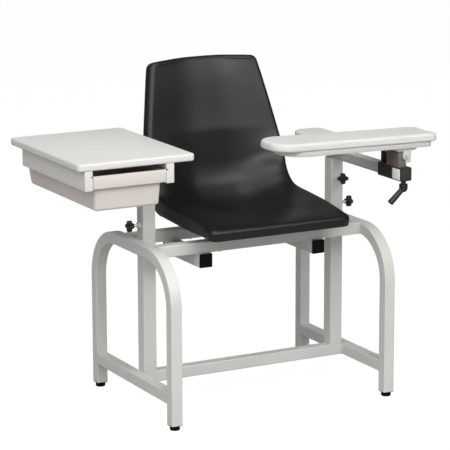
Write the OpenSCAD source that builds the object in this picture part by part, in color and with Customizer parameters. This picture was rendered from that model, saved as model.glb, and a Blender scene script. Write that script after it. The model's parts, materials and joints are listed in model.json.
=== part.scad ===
/* [Side frames] */
// Width over the two side frames
frame_w = 685.8; // [640:1:740]
// Depth of a side frame
frame_d = 495.3; // [460:1:540]
// Height of the side frames' top
frame_h = 467.8; // [440:1:500]
// Side of the square frame tube
tube = 31.75; // [29:0.25:34]
// Wall of the square tubes
tube_wall = 1.9; // [1.5:0.1:2.6]
// Rounding along the edges of every square tube
tube_round = 3; // [2.7:0.1:4]
// Bend radius of a side frame, at the tube's middle
bend_r = 127; // [90:1:150]
// Underside of the lower rails above the floor
rail_z = 68.5; // [50:0.5:120]
// Height of a foot glide
glide_h = 13.8; // [10:0.1:24]
// Diameter of a foot glide
glide_d = 27; // [20:0.5:31]

/* [Seat rails] */
// Middle of the front cross rail, ahead of the posts
front_rail_y = 96; // [70:1:130]
// Middle of the rear cross rail, behind the posts
rear_rail_y = 77; // [50:1:110]
// Side of the square seat rails
seat_rail = 38.1; // [32:0.5:42]
// Middle of a seat rail, out from the middle of the chair
seat_rail_x = 173.5; // [120:1:220]
// Length of a seat rail past the cross rails
seat_rail_over = 5; // [2:0.5:12]
// Thickness of a tube end cap
cap_t = 3; // [2:0.1:5]

/* [Posts] */
// Outer side of the square post sleeves
sleeve = 38.1; // [37.2:0.1:40]
// Wall of a post sleeve
sleeve_wall = 2.4; // [2:0.1:2.7]
// Length of a post sleeve
sleeve_h = 536; // [480:1:600]
// Side of the square masts inside the sleeves
mast = 31.75; // [30:0.25:32]
// Length of a mast inside its sleeve
mast_in = 330; // [300:1:400]
// Drop of the lower knobs below the sleeves' top
knob_low_drop = 130.5; // [110:1:160]
// Drop of the upper knob below the sleeve's top
knob_high_drop = 53; // [40:1:75]

/* [Clamp knobs] */
// Width of a knob over its lobes
knob_d = 31; // [26:0.5:38]
// Height of a knob's lobes
knob_h = 13; // [10:0.5:18]
// Diameter of a threaded stud
stud_d = 8; // [6:0.5:9]
// Diameter of a weld nut
nut_d = 17; // [14:0.5:22]
// Height of a weld nut
nut_h = 7; // [5:0.5:10]
// Bare stud between a weld nut and its knob
stud_bare = 12; // [5:0.5:16]

/* [Seat shell] */
// Width of the seat over its rolled edges
seat_w = 428; // [380:1:470]
// Width of the backrest's top over its rolled edges
back_w = 334; // [280:1:400]
// Depth from the front roll to the backrest's top
seat_d = 462; // [420:1:500]
// Height of the shell above the front roll
back_h = 379.5; // [330:0.5:420]
// Top of the front roll above the side frames
seat_lift = 54.2; // [45:0.5:70]
// Front roll ahead of the front cross rail's middle
seat_front = 136; // [110:1:150]
// Wall of the moulded shell
shell_t = 5; // [4:0.1:6]
// Radius of the rolled edge
roll_r = 12; // [9:0.5:16]
// Straight skirt below the rolled edge, at the front and along the backrest
skirt_h = 18; // [10:0.5:24]
// Diameter of a screw that holds a seat spacer
seat_screw_d = 6; // [5:0.5:8]
// Length of that screw inside the spacer
seat_screw_in = 20; // [12:1:26]
// Diameter of a seat spacer
spacer_d = 34; // [26:0.5:44]
// Middle of a seat spacer, out from the middle of the chair
spacer_x = 120; // [90:1:140]

/* [Side table] */
// Depth of the table top
table_d = 447; // [400:1:500]
// Thickness of the table top
table_t = 19; // [14:0.5:24]
// Underside of the table top above the sleeves' top
table_lift = 76.7; // [66:0.1:95]
// Middle of the table top behind the posts' middle
table_y = 5.5; // [-20:0.5:20]
// Overhang of the table top past the post's inner face
table_over_in = 19; // [8:0.5:30]
// Overhang of the table top past the outer runner
table_over_out = 18.5; // [8:0.5:30]
// Corner radius of the table top
table_corner = 12; // [8:0.5:24]
// Rounding of the edges of the table top and arm boards
board_round = 4; // [2:0.5:5]
// Width of a drawer runner
runner_w = 22.5; // [18:0.5:28]
// Height of a drawer runner
runner_h = 51.5; // [46:0.5:60]
// Length of a drawer runner
runner_l = 405; // [360:1:430]
// Gap between the inner runner and the post
runner_gap = 3.35; // [1:0.05:8]

/* [Drawer] */
// Clear width between the runners
drawer_open = 208.5; // [180:0.5:240]
// Gap above the drawer's rim
drawer_top_gap = 15; // [10:0.5:18]
// Height of the front lip
lip_h = 33; // [28:0.5:36]
// Depth of the front lip, ahead of the tray
lip_d = 15; // [12:0.5:30]
// Depth of the tray below its rim
tray_h = 93; // [70:1:120]
// Length of the drawer from lip to rear rim
drawer_l = 457; // [420:1:475]
// Width of the rim beside the tray
rim_w = 8; // [6:0.5:20]
// Draw-in of the tray's walls from top to bottom
tray_draft = 6; // [2:0.5:12]
// Wall of the drawer moulding
tray_wall = 2.8; // [2:0.1:4]

/* [Arm tube] */
// Side of the square arm tube
arm_tube = 28.6; // [25:0.1:31]
// Length of the arm tube ahead of the posts' middle
arm_reach = 372; // [340:1:410]
// Length of the arm tube behind the posts' middle
arm_back = 130; // [100:1:150]
// Width of the fixed rear arm pad
rear_pad_w = 98; // [80:1:120]
// Length of the fixed rear arm pad
rear_pad_l = 246; // [200:1:270]
// Thickness of the fixed rear arm pad
rear_pad_t = 17; // [14:0.5:24]
// Rear pad past the arm tube's rear end
rear_pad_over = 34; // [10:1:50]
// Thickness of the boards under the arm pads
board_t = 12; // [9:0.5:16]

/* [Sliding collar] */
// Wall of the sliding collar
collar_wall = 3.5; // [3:0.1:5]
// Length of the sliding collar
collar_l = 111.5; // [100:0.5:130]
// Height of the hinge pin above the collar
pin_rise = 28; // [25:0.1:33]
// Hinge pin out from the middle of the arm tube, away from the seat
pin_out = 2.5; // [0:0.1:3.5]
// Diameter of the hinge pin
pin_d = 8; // [6:0.5:10]
// Length of the hinge block
block_l = 60; // [45:1:70]
// Width of the bracket's and collar's ears
ear_w = 24; // [20:0.5:28]
// Thickness of the bracket's ears
ear_t = 4; // [3:0.1:5]
// Thickness of the bracket's base
base_t = 8; // [5:0.5:10]
// Thickness of the collar's rear ear
rear_ear_t = 8; // [6:0.5:12]
// Diameter of the clamp lever's hub
hub_d = 20; // [16:0.5:22]
// Height of the clamp lever's hub
hub_h = 19; // [15:0.5:24]
// Length of the clamp lever's handle
lever_l = 55; // [45:1:80]
// Slope of the clamp lever's handle below level, in degrees
lever_slope = 42; // [20:1:60]

/* [Flip-up arm] */
// Length of the flip-up arm pad
flip_l = 496; // [440:1:520]
// Width of the pad near its free end
flip_w_tip = 146; // [120:1:170]
// Width of the pad near its hinge end
flip_w_end = 126; // [110:1:150]
// Thickness of the flip-up arm pad
flip_pad_t = 22; // [16:0.5:28]
// Thickness of the board under the flip-up pad
flip_board_t = 14; // [10:0.5:18]
// Pad past the hinge pin, away from the seat
flip_past = 98; // [70:1:110]
// Rise of the free end above level at rest, in degrees
flip_tilt = 1.2; // [0:0.1:3]

/* [Hidden] */
$fn = 64;

// One overrun serves all cuts, and one gap keeps unfastened pieces apart
over = 1;
gap = 0.3;
run_fit = 0.05;

// Places shared by several pieces, in the chair's own middle planes
side_in = frame_w / 2 - tube;
post_x = side_in - sleeve / 2;
sleeve_z = rail_z + tube;
sleeve_top = sleeve_z + sleeve_h;
cross_z = frame_h - tube;
knob_low_z = sleeve_top - knob_low_drop;
knob_high_z = sleeve_top - knob_high_drop;
knob_boss_h = knob_h * 0.4;
leg_y = (frame_d - tube) / 2;

table_z = sleeve_top + table_lift;
runner_in_x = -side_in - runner_gap;
opening_x1 = runner_in_x - runner_w;
opening_x0 = opening_x1 - drawer_open;
table_x0 = opening_x0 - runner_w - table_over_out;
table_x1 = -side_in + sleeve + table_over_in;
table_y0 = table_y - table_d / 2;
plate_t = 5;
plate_l = 200;
plate_w = sleeve + table_over_in * 0.7;
runner_setback = 1.5;
runner_y0 = table_y0 + runner_setback;
screw_d = 4.5;
screw_head_d = 9;
screw_head_h = 2.6;
groove_d = 5;
groove_gap = 0.35;
rim_t = 3;
rim_z = table_z - drawer_top_gap - rim_t;
drawer_gap = 1;
tray_corner = 7;
tray_floor_corner = 6;

arm_z0 = sleeve_top + gap;
arm_z1 = arm_z0 + arm_tube;
arm_mid_z = (arm_z0 + arm_z1) / 2;
arm_wall = 2;
end_cap_t = 2.6;
collar_gap = 0.3;
collar_in = arm_tube + 2 * collar_gap;
collar_out = collar_in + 2 * collar_wall;
collar_y0 = -arm_reach;
collar_y1 = collar_y0 + collar_l;
collar_top = arm_mid_z + collar_out / 2;
collar_low = arm_mid_z - collar_out / 2;
front_cap_lip = 1.2;
front_cap_side = arm_tube + 2 * front_cap_lip;
pin_x = post_x + pin_out;
pin_z = collar_top + pin_rise;
ear_setback = 4.2;
block_y0 = collar_y0 + ear_setback + ear_t + gap;
block_y1 = block_y0 + block_l;
pin_head_h = 4;
base_clear = 16.3;
bracket_z = pin_z + base_clear;
board_z = bracket_z + base_t;
pad_z = board_z + flip_board_t;
flip_mid_y = (collar_y0 + collar_y1) / 2;
flip_x0 = flip_past - flip_l;
stud_setback = 11;
clamp_y = collar_y0 + stud_setback;
hub_gap = 1;
board_inset = 4;

// Colours
paint = [0.78, 0.79, 0.76];
bare = [0.66, 0.67, 0.68];
white = [0.88, 0.87, 0.85];
warm = [0.86, 0.82, 0.79];
black = [0.07, 0.07, 0.07];
shell_black = [0.13, 0.12, 0.13];
charcoal = [0.20, 0.20, 0.20];
zinc = [0.72, 0.73, 0.74];

// Flat outlines

module rounded_rect(w, d, r) {
    square([w - 2 * r, d], center = true);
    square([w, d - 2 * r], center = true);
    for (sx = [-1, 1], sy = [-1, 1])
        translate([sx * (w / 2 - r), sy * (d / 2 - r)]) circle(r);
}

module tube_outline(side, wall, round_r) {
    difference() {
        rounded_rect(side, side, round_r);
        rounded_rect(side - 2 * wall, side - 2 * wall, round_r - wall * 0.8);
    }
}

// Square tube standing on the floor plane
module square_tube(side, wall, length, round_r = tube_round) {
    linear_extrude(length) tube_outline(side, wall, round_r);
}

// Everything below is drawn about the chair's middle planes and then moved to the origin
module chair() {
    translate([-origin_x, -origin_y, 0]) children();
}

module along_y(y0) {
    translate([0, y0, 0]) rotate([-90, 0, 0]) children();
}

module along_x(x0) {
    translate([x0, 0, 0]) rotate([0, 90, 0]) children();
}

// Side frames

module side_frame(side) {
    leg_h = frame_h - tube / 2 - bend_r - glide_h;
    color(paint) chair() translate([side * (frame_w - tube) / 2, 0, 0]) {
        for (sy = [-1, 1]) {
            translate([0, sy * leg_y, glide_h]) square_tube(tube, tube_wall, leg_h);
            translate([0, sy * (leg_y - bend_r), glide_h + leg_h])
                rotate([90, 0, sy > 0 ? 90 : -90]) rotate_extrude(angle = 90)
                    translate([bend_r, 0]) tube_outline(tube, tube_wall, tube_round);
        }
        translate([0, 0, frame_h - tube / 2]) along_y(-(leg_y - bend_r))
            square_tube(tube, tube_wall, 2 * (leg_y - bend_r));
    }
}

module lower_rail(side) {
    color(paint) chair()
        translate([side * (frame_w - tube) / 2, 0, rail_z + tube / 2])
            along_y(-(leg_y - tube / 2)) square_tube(tube, tube_wall, 2 * (leg_y - tube / 2));
}

module cross_tube(y, z0, drilled) {
    color(paint) chair() translate([0, y, z0 + tube / 2]) difference() {
        along_x(-side_in) square_tube(tube, tube_wall, 2 * side_in);
        if (drilled) for (sx = [-1, 1]) translate([sx * spacer_x, 0, -tube])
            cylinder(r = seat_screw_d / 2 + run_fit, h = 2 * tube);
    }
}

module stretcher() cross_tube((tube - sleeve) / 2, rail_z, false);
module front_cross_rail() cross_tube(-front_rail_y, cross_z, true);
module rear_cross_rail() cross_tube(rear_rail_y, cross_z, true);

seat_rail_y0 = -front_rail_y - tube / 2 - seat_rail_over;
seat_rail_y1 = rear_rail_y + tube / 2 + seat_rail_over;

module seat_rail_tube(side) {
    color(paint) chair() translate([side * seat_rail_x, 0, cross_z - seat_rail / 2])
        along_y(seat_rail_y0) square_tube(seat_rail, tube_wall, seat_rail_y1 - seat_rail_y0);
}

// Cap with a plug that fills the tube's end
module tube_cap(side, wall, t, plug) {
    linear_extrude(t) rounded_rect(side, side, tube_round);
    translate([0, 0, t]) linear_extrude(plug)
        rounded_rect(side - 2 * wall - gap, side - 2 * wall - gap, tube_round - wall * 0.8);
}

module seat_rail_caps() {
    color(black) chair() for (sx = [-1, 1])
        translate([sx * seat_rail_x, 0, cross_z - seat_rail / 2]) {
            translate([0, seat_rail_y0 - cap_t, 0]) rotate([-90, 0, 0])
                tube_cap(seat_rail, tube_wall, cap_t, seat_rail * 0.4);
            translate([0, seat_rail_y1 + cap_t, 0]) rotate([90, 0, 0])
                tube_cap(seat_rail, tube_wall, cap_t, seat_rail * 0.4);
        }
}

module foot_glides() {
    foot_r = 2.5;
    plug = tube - 2 * tube_wall - gap;
    collar_h = 1.2;
    color(black) chair() for (sx = [-1, 1], sy = [-1, 1])
        translate([sx * (frame_w - tube) / 2, sy * leg_y, 0]) {
            rotate_extrude() difference() {
                square([glide_d / 2, glide_h - collar_h]);
                translate([glide_d / 2 - foot_r, 0]) difference() {
                    translate([0, -over]) square([foot_r + over, foot_r + over]);
                    translate([0, foot_r]) circle(foot_r);
                }
            }
            translate([0, 0, glide_h - collar_h]) linear_extrude(collar_h)
                rounded_rect(tube, tube, tube_round);
            translate([0, 0, glide_h]) linear_extrude(tube * 0.8)
                rounded_rect(plug, plug, tube_round - tube_wall * 0.8);
        }
}

// Post sleeves, with a clear hole behind each weld nut

module post_sleeve(side, high_hole) {
    hole_r = stud_d / 2 + run_fit;
    color(paint) chair() difference() {
        translate([side * post_x, 0, sleeve_z]) square_tube(sleeve, sleeve_wall, sleeve_h);
        translate([side * post_x, 0, knob_low_z]) rotate([0, side * 90, 0])
            cylinder(r = hole_r, h = sleeve);
        if (high_hole) translate([side * post_x, 0, knob_high_z]) rotate([90, 0, 0])
            cylinder(r = hole_r, h = sleeve);
    }
}

// Places a stud's axis so that it points out of the sleeve from its face
module at_low_knob(side) {
    translate([side * (post_x + sleeve / 2), 0, knob_low_z]) rotate([0, side * 90, 0]) children();
}

module at_high_knob() {
    translate([post_x, -sleeve / 2, knob_high_z]) rotate([90, 0, 0]) children();
}

module weld_nut() {
    difference() {
        cylinder(d = nut_d, h = nut_h);
        translate([0, 0, -over]) cylinder(r = stud_d / 2 + run_fit, h = nut_h + 2 * over);
    }
}

module weld_nuts() {
    color(paint) chair() {
        for (sx = [-1, 1]) at_low_knob(sx) weld_nut();
        at_high_knob() weld_nut();
    }
}

// Stud from just short of the mast to inside the knob
module knob_stud() {
    inside = (sleeve - mast) / 2 - gap;
    knob_in = knob_h * 0.5;
    translate([0, 0, -inside]) cylinder(d = stud_d, h = inside + nut_h + stud_bare + knob_in);
}

// Knob with four lobes and a short collar towards the stud
module star_knob() {
    lobe_d = knob_d * 0.36;
    web_d = knob_d * 0.62;
    knob_in = knob_h * 0.5;
    translate([0, 0, nut_h + stud_bare]) difference() {
        union() {
            cylinder(d = knob_d * 0.5, h = knob_boss_h);
            translate([0, 0, knob_boss_h]) {
                cylinder(d = web_d, h = knob_h);
                for (k = [0 : 3]) rotate(45 * (1 + 2 * k)) {
                    translate([(knob_d - lobe_d) / 2, 0, 0]) cylinder(d = lobe_d, h = knob_h);
                    translate([0, -lobe_d / 2, 0]) cube([(knob_d - lobe_d) / 2, lobe_d, knob_h]);
                }
            }
        }
        translate([0, 0, -over]) cylinder(d = stud_d, h = knob_in + over);
    }
}

// The lobes of the photographed knobs stand square to the post
module knob_turned() rotate(45) children();

module table_knob() color(black) chair() at_low_knob(-1) knob_turned() star_knob();
module table_knob_stud() color(zinc) chair() at_low_knob(-1) knob_stud();
module arm_low_knob() color(black) chair() at_low_knob(1) knob_turned() star_knob();
module arm_low_stud() color(zinc) chair() at_low_knob(1) knob_stud();
module arm_high_knob() color(black) chair() at_high_knob() knob_turned() star_knob();
module arm_high_stud() color(zinc) chair() at_high_knob() knob_stud();

// Seat shell: a sheet over a middle curve and an edge curve, rolled over all round its rim.
// Each curve runs from the front edge to the top, as shares of the depth and the height.

edge_curve_shares = [
    [0, 0], [0.096, 0.021], [0.287, 0.052], [0.469, 0.070], [0.593, 0.082], [0.667, 0.103],
    [0.716, 0.142], [0.749, 0.194], [0.776, 0.266], [0.809, 0.370], [0.844, 0.473],
    [0.891, 0.672], [0.940, 0.873], [0.969, 0.987]
];
middle_curve_shares = [
    [0, 0], [0.089, 0.006], [0.287, -0.006], [0.469, -0.021], [0.593, -0.026],
    [0.693, -0.014], [0.778, 0.030], [0.836, 0.106], [0.867, 0.209], [0.880, 0.336],
    [0.889, 0.491], [0.920, 0.672], [0.960, 0.873], [0.996, 1.0]
];
// Half width at each station, from the seat's at 1 to the backrest top's at 0
width_shares = [1, 1, 1, 1, 1, 1, 0.995, 0.99, 0.97, 0.92, 0.83, 0.53, 0.21, 0];
// Skirt at each station, deeper along the sides of the seat than in front
skirt_shares = [1, 1.2, 1.8, 1.9, 2.05, 2.55, 2.2, 1.8, 1.4, 1.1, 1, 1, 1, 1];
shell_steps = 2;
shell_across = 14;
shell_rings = 3;
shell_corner = 10;
shell_y0 = -front_rail_y - seat_front + roll_r;
shell_z0 = frame_h + seat_lift;
shell_last = len(edge_curve_shares) - 1;
sheet_d = seat_d - roll_r;

function spline(a, b, c, d, t) =
    0.5 * (2 * b + (c - a) * t + (2 * a - 5 * b + 4 * c - d) * t * t
        + (3 * b - 3 * c + d - a) * t * t * t);
function along(list, s) =
    let (k = min(floor(s), shell_last - 1), t = s - k)
    spline(list[max(k - 1, 0)], list[k], list[k + 1], list[min(k + 2, shell_last)], t);
function half_w(s) =
    let (k = min(floor(s), shell_last - 1), w = along(width_shares, s))
    (back_w / 2 + (seat_w - back_w) / 2 * w) - roll_r;
function dish(u) = let (a = abs(u)) 0.5 * a * a + 0.5 * a * a * (3 - 2 * a);
function sheet_yz(u, s) =
    let (m = along(middle_curve_shares, s), e = along(edge_curve_shares, s),
        q = m + (e - m) * dish(u))
    [shell_y0 + q[0] * sheet_d, shell_z0 + q[1] * back_h];
function sheet(u, s, w) = let (q = sheet_yz(u, s)) [u * w, q[0], q[1]];
function unit(v) = v / norm(v);
function sheet_n(u, s) =
    let (e = 0.02, lo = max(0, s - e), hi = min(shell_last, s + e),
        a = sheet(u - e, s, half_w(s)), b = sheet(u + e, s, half_w(s)),
        c = sheet(u, lo, half_w(lo)), d = sheet(u, hi, half_w(hi)))
    unit(cross(b - a, d - c));

// Stations along the curves: close together where the corners turn
corner_angles = [0, 30, 60, 90];
first_span = norm(sheet(1, 1, half_w(1)) - sheet(1, 0, half_w(0)));
top_edge = sheet(1, shell_last, half_w(shell_last));
last_span = norm(top_edge - sheet(1, shell_last - 1, half_w(shell_last - 1)));
function corner_in(a) = shell_corner * (1 - cos(a));
front_stations = [for (a = corner_angles) corner_in(a) / first_span];
top_stations = [
    for (k = [len(corner_angles) - 1 : -1 : 0]) shell_last - corner_in(corner_angles[k]) / last_span
];
mid_stations = [for (k = [1 : shell_last * shell_steps - 1]) k / shell_steps];
stations = concat(front_stations, mid_stations, top_stations);
rows = len(stations);

// How far a row's ends are drawn in by the corner, and which way its rim faces
corner_n = len(corner_angles);
function row_angle(i) =
    let (k = min(i, rows - 1 - i)) k < corner_n ? corner_angles[k] : corner_angles[corner_n - 1];
function row_w(i) = half_w(stations[i]) - shell_corner * (1 - sin(row_angle(i)));
function grid_u(j) = (2 * j / shell_across - 1);
function base_pt(i, j) = sheet(grid_u(j), stations[i], row_w(i));
function base_n(i, j) = sheet_n(grid_u(j), stations[i]);

// The rim goes round the sheet as pairs of row and column
rim = concat(
    [for (j = [0 : shell_across]) [0, j]],
    [for (i = [1 : rows - 1]) [i, shell_across]],
    [for (j = [shell_across - 1 : -1 : 0]) [rows - 1, j]],
    [for (i = [rows - 2 : -1 : 1]) [i, 0]]
);
rim_n = len(rim);
function rim_out(p) =
    let (i = p[0], j = p[1], n = base_n(i, j),
        a = (j == 0 || j == shell_across) ? row_angle(i) : 0,
        s = stations[i], e = 0.02, u = grid_u(j),
        lo = max(0, s - e), hi = min(shell_last, s + e),
        tv = unit(sheet(u, hi, half_w(hi)) - sheet(u, lo, half_w(lo))),
        side = unit(cross(tv, n)) * (j == 0 ? -1 : 1),
        fore = unit(cross(n, side)) * (j == 0 ? -1 : 1) * (i < rows / 2 ? -1 : 1),
        end = unit(cross(n, [1, 0, 0])) * (i < rows / 2 ? -1 : 1))
    (j == 0 || j == shell_across) ? unit(fore * cos(a) + side * sin(a)) : end;
function rim_pt(k, ring, inner) =
    let (p = rim[k], b = base_pt(p[0], p[1]), n = base_n(p[0], p[1]), o = rim_out(p),
        r = inner ? roll_r - shell_t : roll_r, c = b - n * roll_r,
        a = min(ring, shell_rings) * 90 / shell_rings,
        drop = ring > shell_rings ? skirt_h * along(skirt_shares, stations[p[0]]) : 0)
    c + o * r * sin(a) + n * (r * cos(a) - drop);

layer = rows * (shell_across + 1);
rim_rows = shell_rings + 1;
shell_pts = concat(
    [for (i = [0 : rows - 1], j = [0 : shell_across]) base_pt(i, j)],
    [for (i = [0 : rows - 1], j = [0 : shell_across]) base_pt(i, j) - base_n(i, j) * shell_t],
    [for (inner = [0, 1], r = [1 : rim_rows], k = [0 : rim_n - 1]) rim_pt(k, r, inner == 1)]
);
function at(i, j, inner) = inner * layer + i * (shell_across + 1) + j;
function ring_at(k, r, inner) =
    let (q = k % rim_n)
    r == 0 ? at(rim[q][0], rim[q][1], inner)
        : 2 * layer + (inner * rim_rows + r - 1) * rim_n + q;
function two(a, b, c, d) = [[a, b, c], [a, c, d]];
shell_faces = [
    for (i = [0 : rows - 2], j = [0 : shell_across - 1])
        for (f = two(at(i, j, 0), at(i + 1, j, 0), at(i + 1, j + 1, 0), at(i, j + 1, 0))) f,
    for (i = [0 : rows - 2], j = [0 : shell_across - 1])
        for (f = two(at(i, j, 1), at(i, j + 1, 1), at(i + 1, j + 1, 1), at(i + 1, j, 1))) f,
    for (r = [0 : rim_rows - 1], k = [0 : rim_n - 1])
        for (f = two(ring_at(k, r, 0), ring_at(k + 1, r, 0),
            ring_at(k + 1, r + 1, 0), ring_at(k, r + 1, 0))) f,
    for (r = [0 : rim_rows - 1], k = [0 : rim_n - 1])
        for (f = two(ring_at(k, r, 1), ring_at(k, r + 1, 1),
            ring_at(k + 1, r + 1, 1), ring_at(k + 1, r, 1))) f,
    for (k = [0 : rim_n - 1])
        for (f = two(ring_at(k, rim_rows, 0), ring_at(k + 1, rim_rows, 0),
            ring_at(k + 1, rim_rows, 1), ring_at(k, rim_rows, 1))) f
];

// The origin is on the floor, under the middle of the whole chair's outline
chair_x1 = pin_x + flip_past;
chair_y0 = flip_mid_y - flip_w_tip / 2;
chair_y1 = max([for (p = shell_pts) p[1]]);
origin_x = (table_x0 + chair_x1) / 2;
origin_y = (chair_y0 + chair_y1) / 2;

module seat_shell() {
    color(shell_black) chair() polyhedron(shell_pts, shell_faces, convexity = 8);
}

// Lowest point of the shell's underside over a spacer's top, walking along the sheet
walk_steps = 16;
walk_window = seat_d / 140;
spacer_top_r = spacer_d * 0.4;
seat_gap = 0.5;
function under_z(x, y) = min([
    for (k = [0 : walk_steps * shell_last])
        let (s = k / walk_steps, u = min(1, abs(x) / half_w(s)), q = sheet_yz(u, s))
        if (abs(q[0] - y) < walk_window && q[1] < shell_z0 + back_h / 3)
            q[1] - shell_t / sheet_n(u, s)[2]
]);
function spacer_top(y) =
    min([
        for (a = [0 : 30 : 330])
            under_z(spacer_x + spacer_top_r * cos(a), y + spacer_top_r * sin(a))
    ]) - seat_gap;

module at_spacers() {
    for (sx = [-1, 1], y = [-front_rail_y, rear_rail_y])
        translate([sx * spacer_x, y, frame_h]) children();
}

module seat_spacers() {
    hole_r = seat_screw_d / 2 + run_fit;
    color(black) chair() for (sx = [-1, 1], y = [-front_rail_y, rear_rail_y])
        translate([sx * spacer_x, y, frame_h]) difference() {
            cylinder(r1 = spacer_d / 2, r2 = spacer_top_r, h = spacer_top(y) - frame_h);
            translate([0, 0, -over]) cylinder(r = hole_r, h = seat_screw_in + 2 * over);
        }
}

module seat_screws() {
    head_h = seat_screw_d * 0.6;
    color(zinc) chair() at_spacers() translate([0, 0, -tube]) {
        cylinder(d = seat_screw_d, h = tube + seat_screw_in);
        translate([0, 0, -head_h]) cylinder(d = seat_screw_d * 1.7, h = head_h);
    }
}

// Slab with rounded corners and rounded edges, over the floor plane
module soft_slab(w, d, t, corner, edge) {
    hull() for (sx = [-1, 1], sy = [-1, 1], z = [edge, t - edge])
        translate([sx * (w / 2 - corner), sy * (d / 2 - corner), z])
            rotate_extrude($fn = 32) translate([corner - edge, 0]) circle(edge, $fn = 16);
}

// Side table

module at_table(z) {
    translate([(table_x0 + table_x1) / 2, table_y, z]) children();
}

plate_x = -side_in + plate_w / 2;
table_screw_l = plate_t + table_t * 0.6;
runner_wall = 3;
runner_screw_l = runner_wall + table_t * 0.6;

module at_plate_screws() {
    for (sy = [-1, 1], k = [0.35, 1])
        translate([plate_x, sy * k * (plate_l / 2 - screw_head_d), table_z - plate_t]) children();
}

module at_runner_screws() {
    for (x = [opening_x0 - runner_w / 2, opening_x1 + runner_w / 2], k = [0.1, 0.5, 0.9])
        translate([x, runner_y0 + k * runner_l, table_z - runner_wall]) children();
}

// Round-headed screw that points up, with its head under the origin
module wood_screw(length) {
    cylinder(d = screw_d, h = length);
    translate([0, 0, -screw_head_h]) cylinder(d = screw_head_d, h = screw_head_h);
}

module screw_hole(length) {
    translate([0, 0, -over]) cylinder(r = screw_d / 2 + run_fit, h = length + over + gap);
}

module table_top() {
    color(white) chair() difference() {
        at_table(table_z)
            soft_slab(table_x1 - table_x0, table_d, table_t, table_corner, board_round);
        at_plate_screws() screw_hole(table_screw_l);
        at_runner_screws() screw_hole(runner_screw_l);
    }
}

module table_mast() {
    color(paint) chair() translate([-post_x, 0, sleeve_top - mast_in])
        square_tube(mast, tube_wall, mast_in + table_lift - plate_t);
}

module table_plate() {
    color(paint) chair() difference() {
        translate([plate_x, 0, table_z - plate_t])
            linear_extrude(plate_t) rounded_rect(plate_w, plate_l, screw_head_d / 2);
        at_plate_screws() screw_hole(plate_t);
    }
}

module table_screws() {
    color(zinc) chair() at_plate_screws() wood_screw(table_screw_l);
}

module runner_screws() {
    color(zinc) chair() at_runner_screws() wood_screw(runner_screw_l);
}

// Hollow runner with closed ends, and a groove for the drawer's rim on its inner side
module runner(x0, inner_side) {
    groove_z = rim_z - groove_gap;
    color(white) chair() difference() {
        translate([x0 + runner_w / 2, runner_y0 + runner_l / 2, table_z - runner_h])
            linear_extrude(runner_h) rounded_rect(runner_w, runner_l, runner_wall);
        translate([x0 + runner_wall, runner_y0 + runner_wall, table_z - runner_h + runner_wall])
            cube([runner_w - 2 * runner_wall, runner_l - 2 * runner_wall, runner_h - 2 * runner_wall]);
        translate([inner_side > 0 ? x0 + runner_w - groove_d : x0 - over, runner_y0 - over, groove_z])
            cube([groove_d + over, runner_l + 2 * over, rim_t + 2 * groove_gap]);
        at_runner_screws() screw_hole(runner_wall);
    }
}

module left_runner() runner(opening_x0 - runner_w, 1);
module right_runner() runner(opening_x1, -1);

// Drawer: a tray hung from a rim, with a hollow lip in front to pull it by

drawer_w = drawer_open - 2 * drawer_gap;
drawer_x = (opening_x0 + opening_x1) / 2;
drawer_y0 = runner_y0;
tray_w = drawer_w - 2 * rim_w;
tray_y0 = drawer_y0 + lip_d;
tray_y1 = drawer_y0 + drawer_l - tray_wall - drawer_gap;
rear_slope = tray_draft * 4;
drawer_top = rim_z + rim_t;

// Tray body drawn in by a wall, from a floor up to a top
module tray_body(inset, z0, z1) {
    corner = tray_corner - inset;
    low = tray_floor_corner - inset;
    draft = tray_draft;
    hull() {
        translate([0, (tray_y0 + tray_y1) / 2, z1 - over]) linear_extrude(over, $fn = 32)
            rounded_rect(tray_w - 2 * inset, tray_y1 - tray_y0 - 2 * inset, corner);
        for (sx = [-1, 1], y = [tray_y0 + inset + draft + low, tray_y1 - inset - rear_slope - low])
            translate([sx * (tray_w / 2 - inset - draft - low), y, z0 + low]) sphere(low, $fn = 32);
    }
}

module drawer_tray() {
    strip = groove_d - drawer_gap - groove_gap;
    color(warm) chair() translate([drawer_x, 0, 0]) difference() {
        union() {
            translate([0, drawer_y0 + drawer_l / 2, rim_z])
                linear_extrude(rim_t) rounded_rect(drawer_w, drawer_l, tray_wall);
            translate([-drawer_w / 2 - drawer_gap - strip, tray_y0, rim_z])
                cube([drawer_w + 2 * (drawer_gap + strip), drawer_l - lip_d - rim_w, rim_t]);
            translate([0, drawer_y0 + lip_d / 2, drawer_top - lip_h])
                linear_extrude(lip_h) rounded_rect(drawer_w, lip_d, tray_wall * 1.5);
            tray_body(0, drawer_top - tray_h, drawer_top);
        }
        translate([0, drawer_y0 + lip_d / 2, drawer_top - lip_h - over])
            linear_extrude(lip_h + over - rim_t)
            rounded_rect(drawer_w - 2 * tray_wall, lip_d - 2 * tray_wall, tray_wall);
        tray_body(tray_wall, drawer_top - tray_h + tray_wall, drawer_top + over);
    }
}

// Arm support

module at_arm(y, z) {
    translate([post_x, y, z]) children();
}

module arm_mast() {
    color(paint) chair() at_arm(0, arm_z0 - mast_in) square_tube(mast, tube_wall, mast_in);
}

rear_pad_y1 = arm_back + rear_pad_over;
rear_pad_y0 = rear_pad_y1 - rear_pad_l;
pad_screw_l = arm_tube + board_t * 0.75;

module at_pad_screws() {
    for (y = [rear_pad_y0 + sleeve * 0.6, arm_back - sleeve * 0.6]) at_arm(y, arm_z0) children();
}

module arm_rail() {
    color(bare) chair() difference() {
        at_arm(0, arm_mid_z) along_y(-arm_reach)
            square_tube(arm_tube, arm_wall, arm_reach + arm_back, tube_round);
        at_pad_screws() screw_hole(arm_tube);
    }
}

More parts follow.
